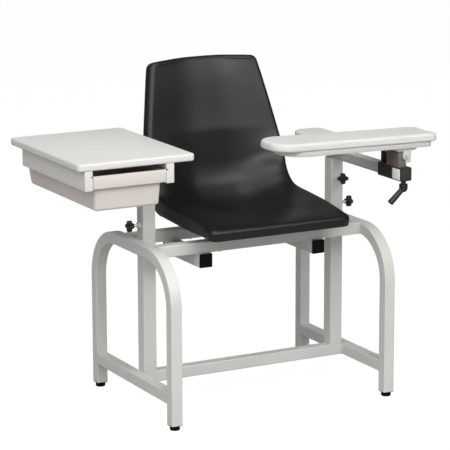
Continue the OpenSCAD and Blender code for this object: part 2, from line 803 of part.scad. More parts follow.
module arm_rail_front_cap() {
    plug = arm_tube - 2 * arm_wall - gap;
    color(charcoal) chair() at_arm(-arm_reach - end_cap_t, arm_mid_z) rotate([-90, 0, 0]) {
        linear_extrude(end_cap_t) rounded_rect(front_cap_side, front_cap_side, tube_round);
        translate([0, 0, end_cap_t]) linear_extrude(arm_tube * 0.6)
            rounded_rect(plug, plug, tube_round - arm_wall * 0.8);
    }
}

module arm_rail_rear_cap() {
    color(black) chair() at_arm(arm_back + end_cap_t, arm_mid_z) rotate([90, 0, 0])
        tube_cap(arm_tube, arm_wall, end_cap_t, arm_tube * 0.6);
}

rear_pad_edge = rear_pad_t * 0.42;
pad_crown = 1.2;
plateau_in = 26;

module rear_arm_board() {
    color(white) chair() difference() {
        at_arm((rear_pad_y0 + rear_pad_y1) / 2, arm_z1) linear_extrude(board_t)
            rounded_rect(rear_pad_w - 4 * board_inset, rear_pad_l - 4 * board_inset, rear_pad_w * 0.3);
        translate([0, 0, arm_tube]) at_pad_screws() screw_hole(pad_screw_l - arm_tube);
    }
}

module rear_arm_pad() {
    color(white) chair() at_arm((rear_pad_y0 + rear_pad_y1) / 2, arm_z1 + board_t) hull() {
        soft_slab(rear_pad_w, rear_pad_l, rear_pad_t - pad_crown, rear_pad_w * 0.4, rear_pad_edge);
        translate([0, 0, rear_pad_t - pad_crown]) linear_extrude(pad_crown, $fn = 32)
            rounded_rect(rear_pad_w - 2 * plateau_in, rear_pad_l - 2 * plateau_in, rear_pad_w * 0.2);
    }
}

module rear_pad_screws() {
    color(zinc) chair() at_pad_screws() wood_screw(pad_screw_l);
}

// Sliding collar and its hinge

module arm_collar() {
    color(charcoal) chair() difference() {
        at_arm(0, arm_mid_z) along_y(collar_y0) linear_extrude(collar_l) difference() {
            rounded_rect(collar_out, collar_out, tube_round);
            rounded_rect(collar_in, collar_in, tube_round - gap);
        }
        at_arm(clamp_y, collar_low - over) cylinder(r = stud_d / 2 + run_fit, h = collar_wall + 2 * over);
    }
}

plate_thin = 0.8;
plate_setback = 1;
block_gap = 1;

module collar_plate() {
    color(white) chair() at_arm(0, arm_mid_z)
        translate([-collar_out / 2 - plate_thin, collar_y0 + plate_setback, -collar_out * 0.4])
            cube([plate_thin, collar_l * 0.33, collar_out * 0.8]);
}

block_r = base_clear - block_gap;
block_w = collar_out / 2 + pin_out + pin_d / 2;

module at_pin(y) {
    translate([pin_x, y, pin_z]) children();
}

module pin_hole(y, length) {
    at_pin(y - over) rotate([-90, 0, 0]) cylinder(r = pin_d / 2 + run_fit, h = length + 2 * over);
}

module hinge_block() {
    side_x = -collar_out / 2 - pin_out;
    color(black) chair() difference() {
        union() {
            at_pin(block_y0) translate([side_x, 0, -pin_rise]) cube([block_w, block_l, pin_rise]);
            at_pin(block_y0) translate([side_x, 0, 0]) cube([-side_x, block_l, block_r]);
            at_pin(block_y0) rotate([-90, 0, 0]) cylinder(r = block_r, h = block_l);
        }
        pin_hole(block_y0, block_l);
    }
}

rear_ear_setback = 1.5;
rear_ear_y1 = collar_y1 - rear_ear_setback;
rear_ear_y0 = rear_ear_y1 - rear_ear_t;

// Ear with a round end about the pin, reaching up or down to what carries it
module ear(y0, t, reach) {
    at_pin(y0) rotate([-90, 0, 0]) cylinder(d = ear_w, h = t);
    at_pin(y0) translate([-ear_w / 2, 0, min(0, reach)]) cube([ear_w, t, abs(reach)]);
}

module hinge_rear_ear() {
    color(black) chair() difference() {
        ear(rear_ear_y0, rear_ear_t, -pin_rise);
        pin_hole(rear_ear_y0, rear_ear_t);
    }
}

clamp_nut_h = 6;
hub_z1 = collar_low - clamp_nut_h - hub_gap;
hub_z0 = hub_z1 - hub_h;
stud_in_hub = hub_h * 0.5;
lever_screw_z = hub_z0 - hub_d * 0.2 + screw_head_h * 0.6;

module clamp_nut() {
    color(charcoal) chair() at_arm(clamp_y, collar_low - clamp_nut_h) difference() {
        cylinder(d = stud_d * 1.9, h = clamp_nut_h, $fn = 6);
        translate([0, 0, -over]) cylinder(r = stud_d / 2 + run_fit, h = clamp_nut_h + 2 * over);
    }
}

module clamp_stud() {
    z0 = hub_z1 - stud_in_hub;
    color(zinc) chair() at_arm(clamp_y, z0) cylinder(d = stud_d, h = arm_z0 - gap - z0);
}

module clamp_lever() {
    grip_r = hub_d * 0.34;
    end_r = grip_r * 0.4;
    color(black) chair() difference() {
        at_arm(clamp_y, 0) {
            translate([0, 0, hub_z0 + hub_d * 0.3]) cylinder(d = hub_d, h = hub_h - hub_d * 0.3);
            translate([0, 0, hub_z0 + hub_d * 0.3]) sphere(d = hub_d);
            translate([0, 0, hub_z0 + hub_d * 0.3]) rotate([0, -90 - lever_slope, 0]) rotate_extrude() {
                square([grip_r * 0.9, lever_l - end_r]);
                square([grip_r - end_r, lever_l]);
                translate([grip_r - end_r, lever_l - end_r]) circle(end_r);
                polygon([[0, 0], [grip_r * 0.9, 0], [grip_r, lever_l - end_r], [0, lever_l - end_r]]);
            }
        }
        at_arm(clamp_y, hub_z1 - stud_in_hub) cylinder(d = stud_d, h = stud_in_hub + over);
        at_arm(clamp_y, lever_screw_z) cylinder(d = screw_head_d, h = screw_head_h);
        at_arm(clamp_y, lever_screw_z - hub_d) cylinder(d = screw_head_d, h = hub_d + gap);
    }
}

module lever_screw() {
    color(zinc) chair() at_arm(clamp_y, lever_screw_z) cylinder(d = screw_head_d, h = screw_head_h);
}

// Flip-up arm, drawn level and then raised a little about its pin

module flip() {
    chair() at_pin(0) rotate([0, flip_tilt, 0]) translate([-pin_x, 0, -pin_z]) children();
}

front_ear_y0 = block_y0 - gap - ear_t;
back_ear_y0 = block_y1 + gap;
back_ear_y1 = back_ear_y0 + ear_t;
base_in = ear_w * 1.2;
base_out = ear_w * 1.4;
ear_out = ear_w * 0.65;

module at_bracket_screws() {
    for (x = [screw_head_d - base_in, base_out - screw_head_d],
            y = [front_ear_y0 + screw_head_d, back_ear_y1 - screw_head_d])
        translate([pin_x + x, y, bracket_z]) children();
}

bracket_screw_l = base_t + flip_board_t * 0.6;
sunk = screw_head_h;

// Ear of the flip-up arm's bracket, wider on the side away from the seat
module bracket_ear(y0) {
    at_pin(y0) rotate([-90, 0, 0]) cylinder(r = ear_w / 3, h = ear_t);
    at_pin(y0) translate([-ear_w / 3, 0, 0]) cube([ear_w / 3 + ear_out, ear_t, base_clear + over]);
    at_pin(y0) translate([0, 0, -ear_out]) cube([ear_out, ear_t, ear_out]);
}

module flip_bracket() {
    color(white) flip() difference() {
        union() {
            translate([pin_x, back_ear_y1, bracket_z]) rotate([90, 0, 0])
                linear_extrude(back_ear_y1 - front_ear_y0) polygon([
                    [-base_in, base_t], [-base_in, base_t / 2], [-base_in + base_t / 2, 0],
                    [base_out - base_t, 0], [base_out, base_t * 0.8], [base_out, base_t]
                ]);
            bracket_ear(front_ear_y0);
            bracket_ear(back_ear_y0);
        }
        pin_hole(front_ear_y0, ear_t);
        pin_hole(back_ear_y0, ear_t);
        at_bracket_screws() {
            screw_hole(base_t);
            translate([0, 0, -over]) cylinder(d = screw_head_d + gap, h = sunk + over);
        }
    }
}

module bracket_screws() {
    color(zinc) flip() at_bracket_screws() {
        cylinder(d = screw_d, h = bracket_screw_l);
        cylinder(d = screw_head_d, h = sunk);
    }
}

module hinge_pin() {
    y0 = front_ear_y0 - pin_head_h;
    color(zinc) flip() at_pin(y0) rotate([-90, 0, 0]) {
        cylinder(d = pin_d * 1.5, h = pin_head_h);
        cylinder(d = pin_d, h = rear_ear_y1 + pin_head_h / 2 - y0);
    }
}

tip_corner = 60;
end_corner = 22;
flip_edge = flip_pad_t * 0.4;
board_tip_in = 30;
board_end_in = 8;

// Places one child at the corners of the free end and the other at those of the hinge end,
// drawn in by an inset all round and by more at either end
module flip_corners(inset, tip_in, end_in) {
    for (sy = [-1, 1]) {
        translate([pin_x + flip_x0 + inset + tip_in + tip_corner,
                flip_mid_y + sy * (flip_w_tip / 2 - inset - tip_corner), 0]) children(0);
        translate([pin_x + flip_past - inset - end_in - end_corner,
                flip_mid_y + sy * (flip_w_end / 2 - inset - end_corner), 0]) children(1);
    }
}

module flip_arm_board() {
    color(white) flip() difference() {
        translate([0, 0, board_z]) linear_extrude(flip_board_t) hull()
            flip_corners(board_inset, board_tip_in, board_end_in) {
                circle(tip_corner, $fn = 48);
                circle(end_corner, $fn = 32);
            }
        at_bracket_screws() translate([0, 0, base_t]) screw_hole(bracket_screw_l - base_t);
    }
}

module pad_ring(r) {
    for (z = [flip_edge, flip_pad_t - pad_crown - flip_edge]) translate([0, 0, z])
        rotate_extrude($fn = 48) translate([r - flip_edge, 0]) circle(flip_edge, $fn = 16);
}

// The top rises a little from its rounded edge to a plateau
module flip_arm_pad() {
    color(white) flip() translate([0, 0, pad_z]) hull() {
        flip_corners(0, 0, 0) {
            pad_ring(tip_corner);
            pad_ring(end_corner);
        }
        translate([0, 0, flip_pad_t - pad_crown]) linear_extrude(pad_crown)
            flip_corners(plateau_in, 0, 0) {
                circle(tip_corner - plateau_in, $fn = 32);
                circle(end_corner, $fn = 32);
            }
    }
}

side_frame(-1);  // left_side_frame
side_frame(1);  // right_side_frame
lower_rail(-1);  // left_lower_rail
lower_rail(1);  // right_lower_rail
stretcher();
front_cross_rail();
rear_cross_rail();
seat_rail_tube(-1);  // left_seat_rail
seat_rail_tube(1);  // right_seat_rail
seat_rail_caps();
foot_glides();
post_sleeve(-1, false);  // left_post_sleeve
post_sleeve(1, true);  // right_post_sleeve
weld_nuts();
seat_shell();
seat_spacers();
seat_screws();
table_mast();
table_plate();
table_top();
left_runner();
right_runner();
runner_screws();
table_screws();
drawer_tray();
table_knob();
table_knob_stud();
arm_low_knob();
arm_low_stud();
arm_high_knob();
arm_high_stud();
arm_mast();
arm_rail();
arm_rail_front_cap();
arm_rail_rear_cap();
rear_arm_board();
rear_arm_pad();
rear_pad_screws();
arm_collar();
collar_plate();
hinge_block();
hinge_rear_ear();
clamp_nut();
clamp_stud();
clamp_lever();
lever_screw();
flip_bracket();
hinge_pin();
flip_arm_board();
flip_arm_pad();
bracket_screws();
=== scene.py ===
# %% [markdown]
# A blood-drawing chair: a moulded black seat on a powder-coated tube frame, a small side table with
# a drawer, and a padded arm that flips up on a sliding collar.  The frame's tubes, runners and
# fasteners arrive as finished solids.  What this script adds is the finish of every surface, and
# new meshes for the pieces whose looks depend on soft or moulded shapes.

# %% Load the solids
import json
import math

import bmesh
import bpy
from mathutils import Matrix, Vector


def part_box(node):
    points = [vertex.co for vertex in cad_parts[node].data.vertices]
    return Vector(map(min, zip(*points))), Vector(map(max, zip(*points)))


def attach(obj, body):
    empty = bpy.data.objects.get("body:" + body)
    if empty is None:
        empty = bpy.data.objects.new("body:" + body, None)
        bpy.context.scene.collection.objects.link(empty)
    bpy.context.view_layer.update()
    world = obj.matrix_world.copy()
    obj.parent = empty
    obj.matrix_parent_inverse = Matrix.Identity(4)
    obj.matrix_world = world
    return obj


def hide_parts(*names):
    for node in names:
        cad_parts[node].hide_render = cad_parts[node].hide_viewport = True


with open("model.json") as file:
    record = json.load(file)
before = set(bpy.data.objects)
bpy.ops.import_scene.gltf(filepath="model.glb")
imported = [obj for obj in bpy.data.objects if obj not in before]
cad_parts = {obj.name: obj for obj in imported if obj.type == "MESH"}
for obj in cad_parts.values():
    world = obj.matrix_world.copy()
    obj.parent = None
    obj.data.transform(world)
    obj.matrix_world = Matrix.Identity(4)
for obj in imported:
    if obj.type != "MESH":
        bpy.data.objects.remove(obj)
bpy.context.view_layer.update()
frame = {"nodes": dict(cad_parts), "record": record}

nodes = frame["nodes"]
record = frame["record"]
body_of_node = {n: b for b, members in record["behaviour"]["bodies"].items() for n in members}
slot_of_node = {part["node"]: part["material_slot"] for part in record["subparts"]}

# %% [markdown]
# Almost everything here is placed from a few shared planes: the middle of the chair, the middle of
# the two posts, and the top of the side frames.  Reading them from the solids keeps the new pieces
# where the old ones were.

# %% Shared planes
def middle(node):
    low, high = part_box(node)
    return (low + high) / 2


chair_mid_x = (middle("left_side_frame").x + middle("right_side_frame").x) / 2
post_mid_y = middle("left_post_sleeve").y
frame_top_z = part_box("left_side_frame")[1].z
print("middle plane at", round(chair_mid_x, 4), "posts at", round(post_mid_y, 4))

# %% [markdown]
# ## Finishes
# A finish that is one flat colour looks like a drawing.  Each real surface has a second and third
# level of detail: a colour that drifts a little over a hand's width, a gloss that changes where it
# is rubbed, and a fine texture that you can feel.  One helper wires those three levels from noise
# on object coordinates, which stay in place when a piece moves.  Each finish then only says how
# large and how strong its own detail is.  Noise hovers round a half and seldom comes near 0 or 1,
# so every ramp runs over the middle of its range.

# %% Finish helper
noise_low = 0.3
noise_high = 0.7
colour_detail = 3
gloss_detail = 4
grain_detail = 2


def add(tree, kind, **settings):
    """A new shader node with its settings, which are attributes or input sockets."""
    made = tree.nodes.new(kind)
    for name, value in settings.items():
        if hasattr(made, name):
            setattr(made, name, value)
        else:
            made.inputs[name.replace("_", " ")].default_value = value
    return made


def two_tones(tree, factor, low, high):
    """A colour that runs from low to high as the factor does."""
    ramp = tree.nodes.new("ShaderNodeValToRGB")
    first, last = ramp.color_ramp.elements
    first.position = noise_low
    last.position = noise_high
    first.color = (*low, 1)
    last.color = (*high, 1)
    tree.links.new(factor, ramp.inputs["Fac"])
    return ramp.outputs["Color"]


def spread(tree, factor, low, high):
    """A number that runs from low to high as the factor does."""
    span = tree.nodes.new("ShaderNodeMapRange")
    span.inputs["From Min"].default_value = noise_low
    span.inputs["From Max"].default_value = noise_high
    span.inputs["To Min"].default_value = low
    span.inputs["To Max"].default_value = high
    tree.links.new(factor, span.inputs["Value"])
    return span.outputs["Result"]


def shade(colour, by):
    return tuple(min(1, c * by) for c in colour)


# %% One finish from its settings
def new_finish(name, colour, drift=0.03, drift_size=0.12, gloss=(0.35, 0.45), gloss_size=0.05,
               grain_size=0.001, grain_depth=0.1, grain_height=0.00005, stretch=(1, 1, 1),
               metallic=0.0, specular=0.5, cells=False):
    """A principled finish with drifting colour, drifting gloss and a fine texture."""
    finish = bpy.data.materials.new(name)
    finish.use_nodes = True
    tree = finish.node_tree
    shader = tree.nodes["Principled BSDF"]
    shader.inputs["Metallic"].default_value = metallic
    shader.inputs["Specular IOR Level"].default_value = specular
    place = tree.nodes.new("ShaderNodeTexCoord").outputs["Object"]
    stretched = add(tree, "ShaderNodeMapping", Scale=stretch)
    tree.links.new(place, stretched.inputs["Vector"])

    def noise(size, detail):
        made = add(tree, "ShaderNodeTexNoise", Scale=1 / size, Detail=detail)
        tree.links.new(stretched.outputs["Vector"], made.inputs["Vector"])
        return made.outputs["Fac"]

    colours = two_tones(tree, noise(drift_size, colour_detail),
                        shade(colour, 1 - drift), shade(colour, 1 + drift))
    tree.links.new(colours, shader.inputs["Base Color"])
    roughness = spread(tree, noise(gloss_size, gloss_detail), *gloss)
    tree.links.new(roughness, shader.inputs["Roughness"])
    if cells:
        grain = add(tree, "ShaderNodeTexVoronoi", feature="SMOOTH_F1", Scale=1 / grain_size)
        tree.links.new(stretched.outputs["Vector"], grain.inputs["Vector"])
        height = grain.outputs["Distance"]
    else:
        height = noise(grain_size, grain_detail)
    bump = add(tree, "ShaderNodeBump", Strength=grain_depth, Distance=grain_height)
    tree.links.new(height, bump.inputs["Height"])
    tree.links.new(bump.outputs["Normal"], shader.inputs["Normal"])
    return finish


# %% [markdown]
# The tubes are powder coated.  The powder melts into a skin with a faint orange peel about a
# millimetre across, and it is neither matt nor glossy.  The plated arm tube is drawn through a die,
# so its scratches run along it: the noise is stretched along the tube by shrinking that coordinate.
# An image of scratches would do as well, but it repeats, and noise never does.

# %% Metal finishes
powder_coat = new_finish("powder_coat", (0.665, 0.672, 0.634), drift=0.025, drift_size=0.16,
                         gloss=(0.36, 0.46), grain_size=0.0016, grain_depth=0.35,
                         grain_height=0.00006, specular=0.45)
drawn_tube = new_finish("drawn_tube", (0.68, 0.685, 0.68), drift=0.06, drift_size=0.02,
                        gloss=(0.24, 0.38), gloss_size=0.012, grain_size=0.0009,
                        grain_depth=0.3, grain_height=0.00003, stretch=(1, 0.03, 1), metallic=0.4)
charcoal_coat = new_finish("charcoal_coat", (0.036, 0.035, 0.034), drift=0.12, drift_size=0.03,
                           gloss=(0.48, 0.60), grain_size=0.0008, grain_depth=0.5,
                           grain_height=0.00006, specular=0.22)
hinge_enamel = new_finish("hinge_enamel", (0.165, 0.143, 0.132), drift=0.15, drift_size=0.02,
                          gloss=(0.30, 0.42), grain_size=0.0022, grain_depth=0.25,
                          grain_height=0.00006, specular=0.45)
zinc_plate = new_finish("zinc_plate", (0.74, 0.75, 0.76), drift=0.07, drift_size=0.006,
                        gloss=(0.24, 0.36), gloss_size=0.004, grain_size=0.0007,
                        grain_depth=0.2, grain_height=0.00002, metallic=0.6)
bracket_coat = new_finish("bracket_coat", (0.62, 0.63, 0.61), drift=0.03, drift_size=0.03,
                          gloss=(0.32, 0.42), grain_size=0.0014, grain_depth=0.3,
                          grain_height=0.00005)
print(len(bpy.data.materials), "materials with the metals")

# %% [markdown]
# The moulded pieces carry the texture of their moulds.  The seat's mould is spark eroded, which
# leaves a fine even grain, and its black skin is a little shinier in some places than in others.
# The drawer is smoother, and warmer in colour than the table's laminate beside it.  The vinyl of
# the pads is embossed with small round cells, which come from smooth cells and not from noise.

# %% Plastic, laminate, rubber and vinyl finishes
seat_plastic = new_finish("seat_plastic", (0.0066, 0.0060, 0.0063), drift=0.10, drift_size=0.20,
                          gloss=(0.36, 0.44), gloss_size=0.08, grain_size=0.0009,
                          grain_depth=0.35, grain_height=0.00004, specular=0.42)
drawer_plastic = new_finish("drawer_plastic", (0.700, 0.645, 0.602), drift=0.02, drift_size=0.09,
                            gloss=(0.32, 0.42), grain_size=0.0012, grain_depth=0.25,
                            grain_height=0.00004)
laminate = new_finish("laminate", (0.715, 0.704, 0.676), drift=0.015, drift_size=0.14,
                      gloss=(0.38, 0.48), grain_size=0.0011, grain_depth=0.3,
                      grain_height=0.00004)
pad_vinyl = new_finish("pad_vinyl", (0.650, 0.645, 0.618), drift=0.02, drift_size=0.10,
                       gloss=(0.50, 0.62), grain_size=0.0013, grain_depth=0.35,
                       grain_height=0.00008, specular=0.32, cells=True)
# The boards take a laminate about a fifth darker than the table top's.
board_laminate = new_finish("board_laminate", (0.590, 0.582, 0.556), drift=0.02, drift_size=0.10,
                            gloss=(0.40, 0.50), grain_size=0.0011, grain_depth=0.3,
                            grain_height=0.00004)
knob_plastic = new_finish("knob_plastic", (0.010, 0.010, 0.0105), drift=0.12, drift_size=0.02,
                          gloss=(0.34, 0.48), gloss_size=0.01, grain_size=0.0006,
                          grain_depth=0.35, grain_height=0.00004)
cap_rubber = new_finish("cap_rubber", (0.004, 0.004, 0.0042), drift=0.15, drift_size=0.015,
                        gloss=(0.55, 0.70), grain_size=0.0008, grain_depth=0.4,
                        grain_height=0.00006, specular=0.12)
plain_plate = new_finish("plain_plate", (0.95, 0.96, 0.94), drift=0.02, drift_size=0.02,
                         gloss=(0.30, 0.40), grain_size=0.0006, grain_depth=0.2,
                         grain_height=0.00002)
print(len(bpy.data.materials), "materials in all")

# %% [markdown]
# The record gives every solid a material slot, and some slots serve many solids.  So one table
# pairs each slot with its finish, and a loop does the rest.

# %% Put a finish on every solid
finish_of_slot = {
    "frame_paint": powder_coat, "bare_tube": drawn_tube, "dark_collar": charcoal_coat,
    "hinge_black": hinge_enamel, "zinc": zinc_plate, "pale_bracket": bracket_coat,
    "seat_plastic": seat_plastic, "drawer_plastic": drawer_plastic, "white_laminate": laminate,
    "pad_vinyl": pad_vinyl, "knob_plastic": knob_plastic, "black_caps": cap_rubber,
    "pale_plate": plain_plate,
}
for name, solid in nodes.items():
    solid.data.materials.clear()
    solid.data.materials.append(finish_of_slot[slot_of_node[name]])
print(len(finish_of_slot), "finishes on", len(nodes), "solids")

# %% [markdown]
# ## Making a piece
# Every new piece is shaped as a bmesh and then handed over in the same way: doubles are merged,
# the faces are turned outwards, corners sharper than a set angle keep a crisp shade, and the new
# object takes over the body of the solid it stands for, and its slot's finish unless given another.

# %% Hand over a piece
sharp_angle = math.radians(38)
merge_gap = 1e-6


def hand_over(bm, name, *stands_for, finish=None):
    """Makes the object from bm, with the place of the solids it stands for and the finish of their
    slot, or the one given.
    """
    bmesh.ops.remove_doubles(bm, verts=bm.verts, dist=merge_gap)
    bmesh.ops.recalc_face_normals(bm, faces=bm.faces)
    mesh = bpy.data.meshes.new(name)
    bm.to_mesh(mesh)
    bm.free()
    mesh.shade_smooth()
    mesh.set_sharp_from_angle(angle=sharp_angle)
    piece = bpy.data.objects.new(name, mesh)
    bpy.context.scene.collection.objects.link(piece)
    slot = slot_of_node[stands_for[0]]
    mesh.materials.append(finish or finish_of_slot[slot])
    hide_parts(*stands_for)
    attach(piece, body_of_node[stands_for[0]])
    print(name, len(mesh.polygons), "faces")
    return piece


# %% [markdown]
# ## Machined and moulded edges
# No real edge is perfectly sharp: a sawn block is filed, a moulding has a radius.  A thin bright
# line along each edge is what makes a shape read as solid.  A Bevel node in the finish could fake
# that line, but the mesh would stay sharp, so the edges are really cut.  A solid's mesh is loose
# triangles: a copy of it is merged, its flat faces are joined up, and its sharp edges bevelled.

# %% Soften a solid's edges
solid_merge_gap = 2e-6
flat_angle = math.radians(0.5)
edge_angle = math.radians(40)
edge_steps = 3


def softened(node, name, width, finish=None):
    """A copy of a solid whose sharp edges have a bevel of the given width."""
    bm = bmesh.new()
    bm.from_mesh(nodes[node].data)
    bmesh.ops.remove_doubles(bm, verts=bm.verts, dist=solid_merge_gap)
    bmesh.ops.dissolve_limit(bm, angle_limit=flat_angle, verts=bm.verts, edges=bm.edges)
    sharp = [e for e in bm.edges if len(e.link_faces) == 2 and e.calc_face_angle(0) > edge_angle]
    bmesh.ops.bevel(bm, geom=sharp, offset=width, offset_type="OFFSET", segments=edge_steps,
                    profile=0.5, affect="EDGES", material=-1, clamp_overlap=True)
    return hand_over(bm, name, node, finish=finish)


softened_widths = {
    "left_runner": 0.0012, "right_runner": 0.0012, "seat_rail_caps": 0.0012,
    "arm_collar": 0.0006, "collar_plate": 0.0002, "hinge_block": 0.0012,
    "hinge_rear_ear": 0.001, "clamp_nut": 0.0006, "flip_bracket": 0.0008,
    "arm_rail_front_cap": 0.0008, "arm_rail_rear_cap": 0.0008, "table_plate": 0.0006,
}
softened_finishes = {"hinge_rear_ear": charcoal_coat}
for node, width in softened_widths.items():
    softened(node, node.capitalize(), width, finish=softened_finishes.get(node))

# %% [markdown]
# ## The moulded seat
# The seat is one sheet of plastic about five millimetres thick.  Two curves describe it: one down
# its middle, and one along its edge, which stands higher so that the sheet is dished.  All round,
# the sheet rolls over a radius and hangs down as a skirt, which is what stiffens it.  A grid is the
# natural start: its rows run from the front edge to the top and its columns from side to side.
# The points of both curves are shares of the depth and the height of the shell.  A station counts
# along those points: station 0 is the front edge, and station 2.5 lies half way between the third
# point and the fourth.

# %% Seat sizes and curves
seat_w = 0.428
back_w = 0.334
seat_d = 0.462
back_h = 0.3795
seat_lift = 0.0542
seat_front = 0.136
shell_t = 0.005
roll_r = 0.012
skirt_h = 0.018
corner_r = 0.010
edge_curve_shares = [
    (0, 0), (0.096, 0.021), (0.287, 0.052), (0.469, 0.070), (0.593, 0.082), (0.667, 0.103),
    (0.716, 0.142), (0.749, 0.194), (0.776, 0.266), (0.809, 0.370), (0.844, 0.473),
    (0.891, 0.672), (0.940, 0.873), (0.969, 0.987)]
middle_curve_shares = [
    (0, 0), (0.089, 0.006), (0.287, -0.006), (0.469, -0.021), (0.593, -0.026),
    (0.693, -0.014), (0.778, 0.030), (0.836, 0.106), (0.867, 0.209), (0.880, 0.336),
    (0.898, 0.491), (0.935, 0.672), (0.976, 0.873), (1.011, 1.0)]
width_shares = [1, 1, 1, 1, 1, 1, 0.995, 0.99, 0.97, 0.92, 0.83, 0.53, 0.21, 0]
skirt_shares = [1, 1.2, 1.8, 1.9, 2.05, 2.55, 2.2, 1.8, 1.4, 1.1, 1, 1, 1, 1]
last_station = len(edge_curve_shares) - 1
sheet_d = seat_d - roll_r
shell_y0 = middle("front_cross_rail").y - seat_front + roll_r
shell_z0 = frame_top_z + seat_lift
print("front edge of the seat", round(shell_z0, 3), "above the floor,", last_station, "stations")

# %% [markdown]
# Straight lines between a few points would show as facets.  A spline passes through every point
# and turns smoothly there, and moving one point changes the curve only near it.

# %% Along the curves
def spline(a, b, c, d, t):
    """A smooth curve through b and c, steered by their neighbours."""
    return 0.5 * (2 * b + (c - a) * t + (2 * a - 5 * b + 4 * c - d) * t ** 2
                  + (3 * b - 3 * c + d - a) * t ** 3)


def along(shares, station):
    """The number or the point that a list of shares gives at a station."""
    k = min(int(station), last_station - 1)
    picks = [shares[max(k - 1, 0)], shares[k], shares[k + 1], shares[min(k + 2, last_station)]]
    if isinstance(picks[1], tuple):
        return Vector([spline(*(p[i] for p in picks), station - k) for i in (0, 1)])
    return spline(*picks, station - k)


def half_width(station):
    return back_w / 2 + (seat_w - back_w) / 2 * along(width_shares, station) - roll_r


# %% [markdown]
# Three profiles say how the sheet rises from its middle to its edge.  The seat pan rises evenly.
# At the hips the middle stays flatter, the sides rise like a bowl, and the outermost part falls
# again as a rounded bolster.  The back is flat in the middle and has two straight wings.  Sculpting
# could do this too, but three short formulas blend smoothly and can be changed one at a time.

# %% The dish from side to side
bowl_flat_share = 0.3
bowl_full_share = 0.9
bolster_fall_share = 0.06
bowl_share = 0.7
hips_start_station = 3.0
hips_full_station = 5.0
back_start_station = 7.2
back_full_station = 8.6
wing_start_share = 0.1
wing_end_share = 0.6


def blend(at, start, full):
    """0 up to the start, 1 from full on, and a smooth change between the two."""
    share = min(1, max(0, (at - start) / (full - start)))
    return share * share * (3 - 2 * share)


def bowl(a):
    """Rises a little past 1 at the bolster's crest and falls back to 1 at the side."""
    rise = blend(a, bowl_flat_share, bowl_full_share) * (1 + bolster_fall_share)
    outer = max(0, a - bowl_full_share) / (1 - bowl_full_share)
    return rise - bolster_fall_share * outer ** 2


def wing(a):
    """Level, then a smooth bend, then a straight slope that reaches 1 at the side."""
    bend = wing_end_share - wing_start_share
    turn = min(1, max(0, (a - wing_start_share) / bend))
    bent = bend * (turn ** 3 - turn ** 4 / 2)
    straight = max(0, a - wing_end_share)
    return (bent + straight) / (bend / 2 + 1 - wing_end_share)


def dish(across, station):
    """How much of the edge curve a point takes: none in the middle, all of it at the side."""
    a = min(1, abs(across))
    pan = (a * a + blend(a, 0, 1)) / 2
    hips = bowl_share * blend(station, hips_start_station, hips_full_station)
    back = blend(station, back_start_station, back_full_station)
    low = pan + (bowl(a) - pan) * hips
    return low + (wing(a) - low) * back


print("rise at the hips", [round(dish(k / 4, hips_full_station), 2) for k in range(5)])

# %% [markdown]
# The sheet's normal at a point isn't worked out from a formula.  Two short steps on the sheet, one
# sideways and one along it, give two directions, and their cross product stands square to both.

# %% Points and normals of the sheet
across_step = 0.02
station_step = 0.02


def on_sheet(across, station, half):
    low = along(middle_curve_shares, station)
    high = along(edge_curve_shares, station)
    share = low.lerp(high, dish(across, station)) if abs(across) <= 1 else high
    return Vector((chair_mid_x + across * half, shell_y0 + share.x * sheet_d,
                   shell_z0 + share.y * back_h))


def sheet_run(across, station):
    """The way that the sheet runs from the front towards the top."""
    fore = max(0, station - station_step)
    aft = min(last_station, station + station_step)
    return on_sheet(across, aft, half_width(aft)) - on_sheet(across, fore, half_width(fore))


def sheet_normal(across, station):
    half = half_width(station)
    left = on_sheet(across - across_step, station, half)
    right = on_sheet(across + across_step, station, half)
    return (right - left).cross(sheet_run(across, station)).normalized()


# %% [markdown]
# The sheet's four corners are rounded, so near both ends the rows crowd together and draw in by a
# quarter circle.  The list below gives every row its station along the curves, and each row near
# an end its angle round the corner.

# %% Rows of the sheet
corner_steps = 5
rows_per_station = 6
least_row_gap = 0.08
columns = 28


def edge_span(first, second):
    return (on_sheet(1, second, half_width(second)) - on_sheet(1, first, half_width(first))).length


corner_angles = [math.radians(90 * k / corner_steps) for k in range(corner_steps + 1)]
corner_drops = [corner_r * (1 - math.cos(a)) for a in corner_angles]
first_rows = [d / edge_span(0, 1) for d in corner_drops]
final_rows = [last_station - d / edge_span(last_station - 1, last_station) for d in corner_drops]
middle_rows = [k / rows_per_station for k in range(1, last_station * rows_per_station)]
middle_rows = [s for s in middle_rows
               if first_rows[-1] + least_row_gap < s < final_rows[-1] - least_row_gap]
stations = first_rows + middle_rows + final_rows[::-1]
row_angles = corner_angles + [math.pi / 2] * len(middle_rows) + corner_angles[::-1]
print(len(stations), "rows of", columns + 1, "points")

# %% [markdown]
# The upper back is a flat panel that leans, and the lower back stands nearly upright, so they meet
# in a crease just under the table's height.  The spline rounds that crease off.  Pushing the
# sheet back a little along the crease line sharpens it again, less and less towards the sides.

# %% The crease in the back
crease_height_share = 0.497
crease_z = shell_z0 + crease_height_share * back_h
crease_reach = 0.034
crease_depth = 0.0016


def creased(point, across):
    near = max(0, 1 - abs(point.z - crease_z) / crease_reach)
    fade = max(0, 1 - across * across)
    return point - Vector((0, crease_depth * near * near * fade, 0))


print("crease", round(crease_z, 3), "above the floor")

# %% [markdown]
# The rim could be a thick slab with its edge bevelled, but the skirt isn't even: it hangs deepest
# beside the hips and stays shallow along the back.  So the grid's open edge is extruded ring by
# ring, first round the radius and then straight down, and each vertex leans away from the
# sheet's normal at its own place.

# %% Roll over the rim
roll_steps = 5
skirt_steps = 3
spot_digits = 7


def spot(v):
    """A vertex's place, rounded so that it can be looked up."""
    return tuple(round(c, spot_digits) for c in v.co)


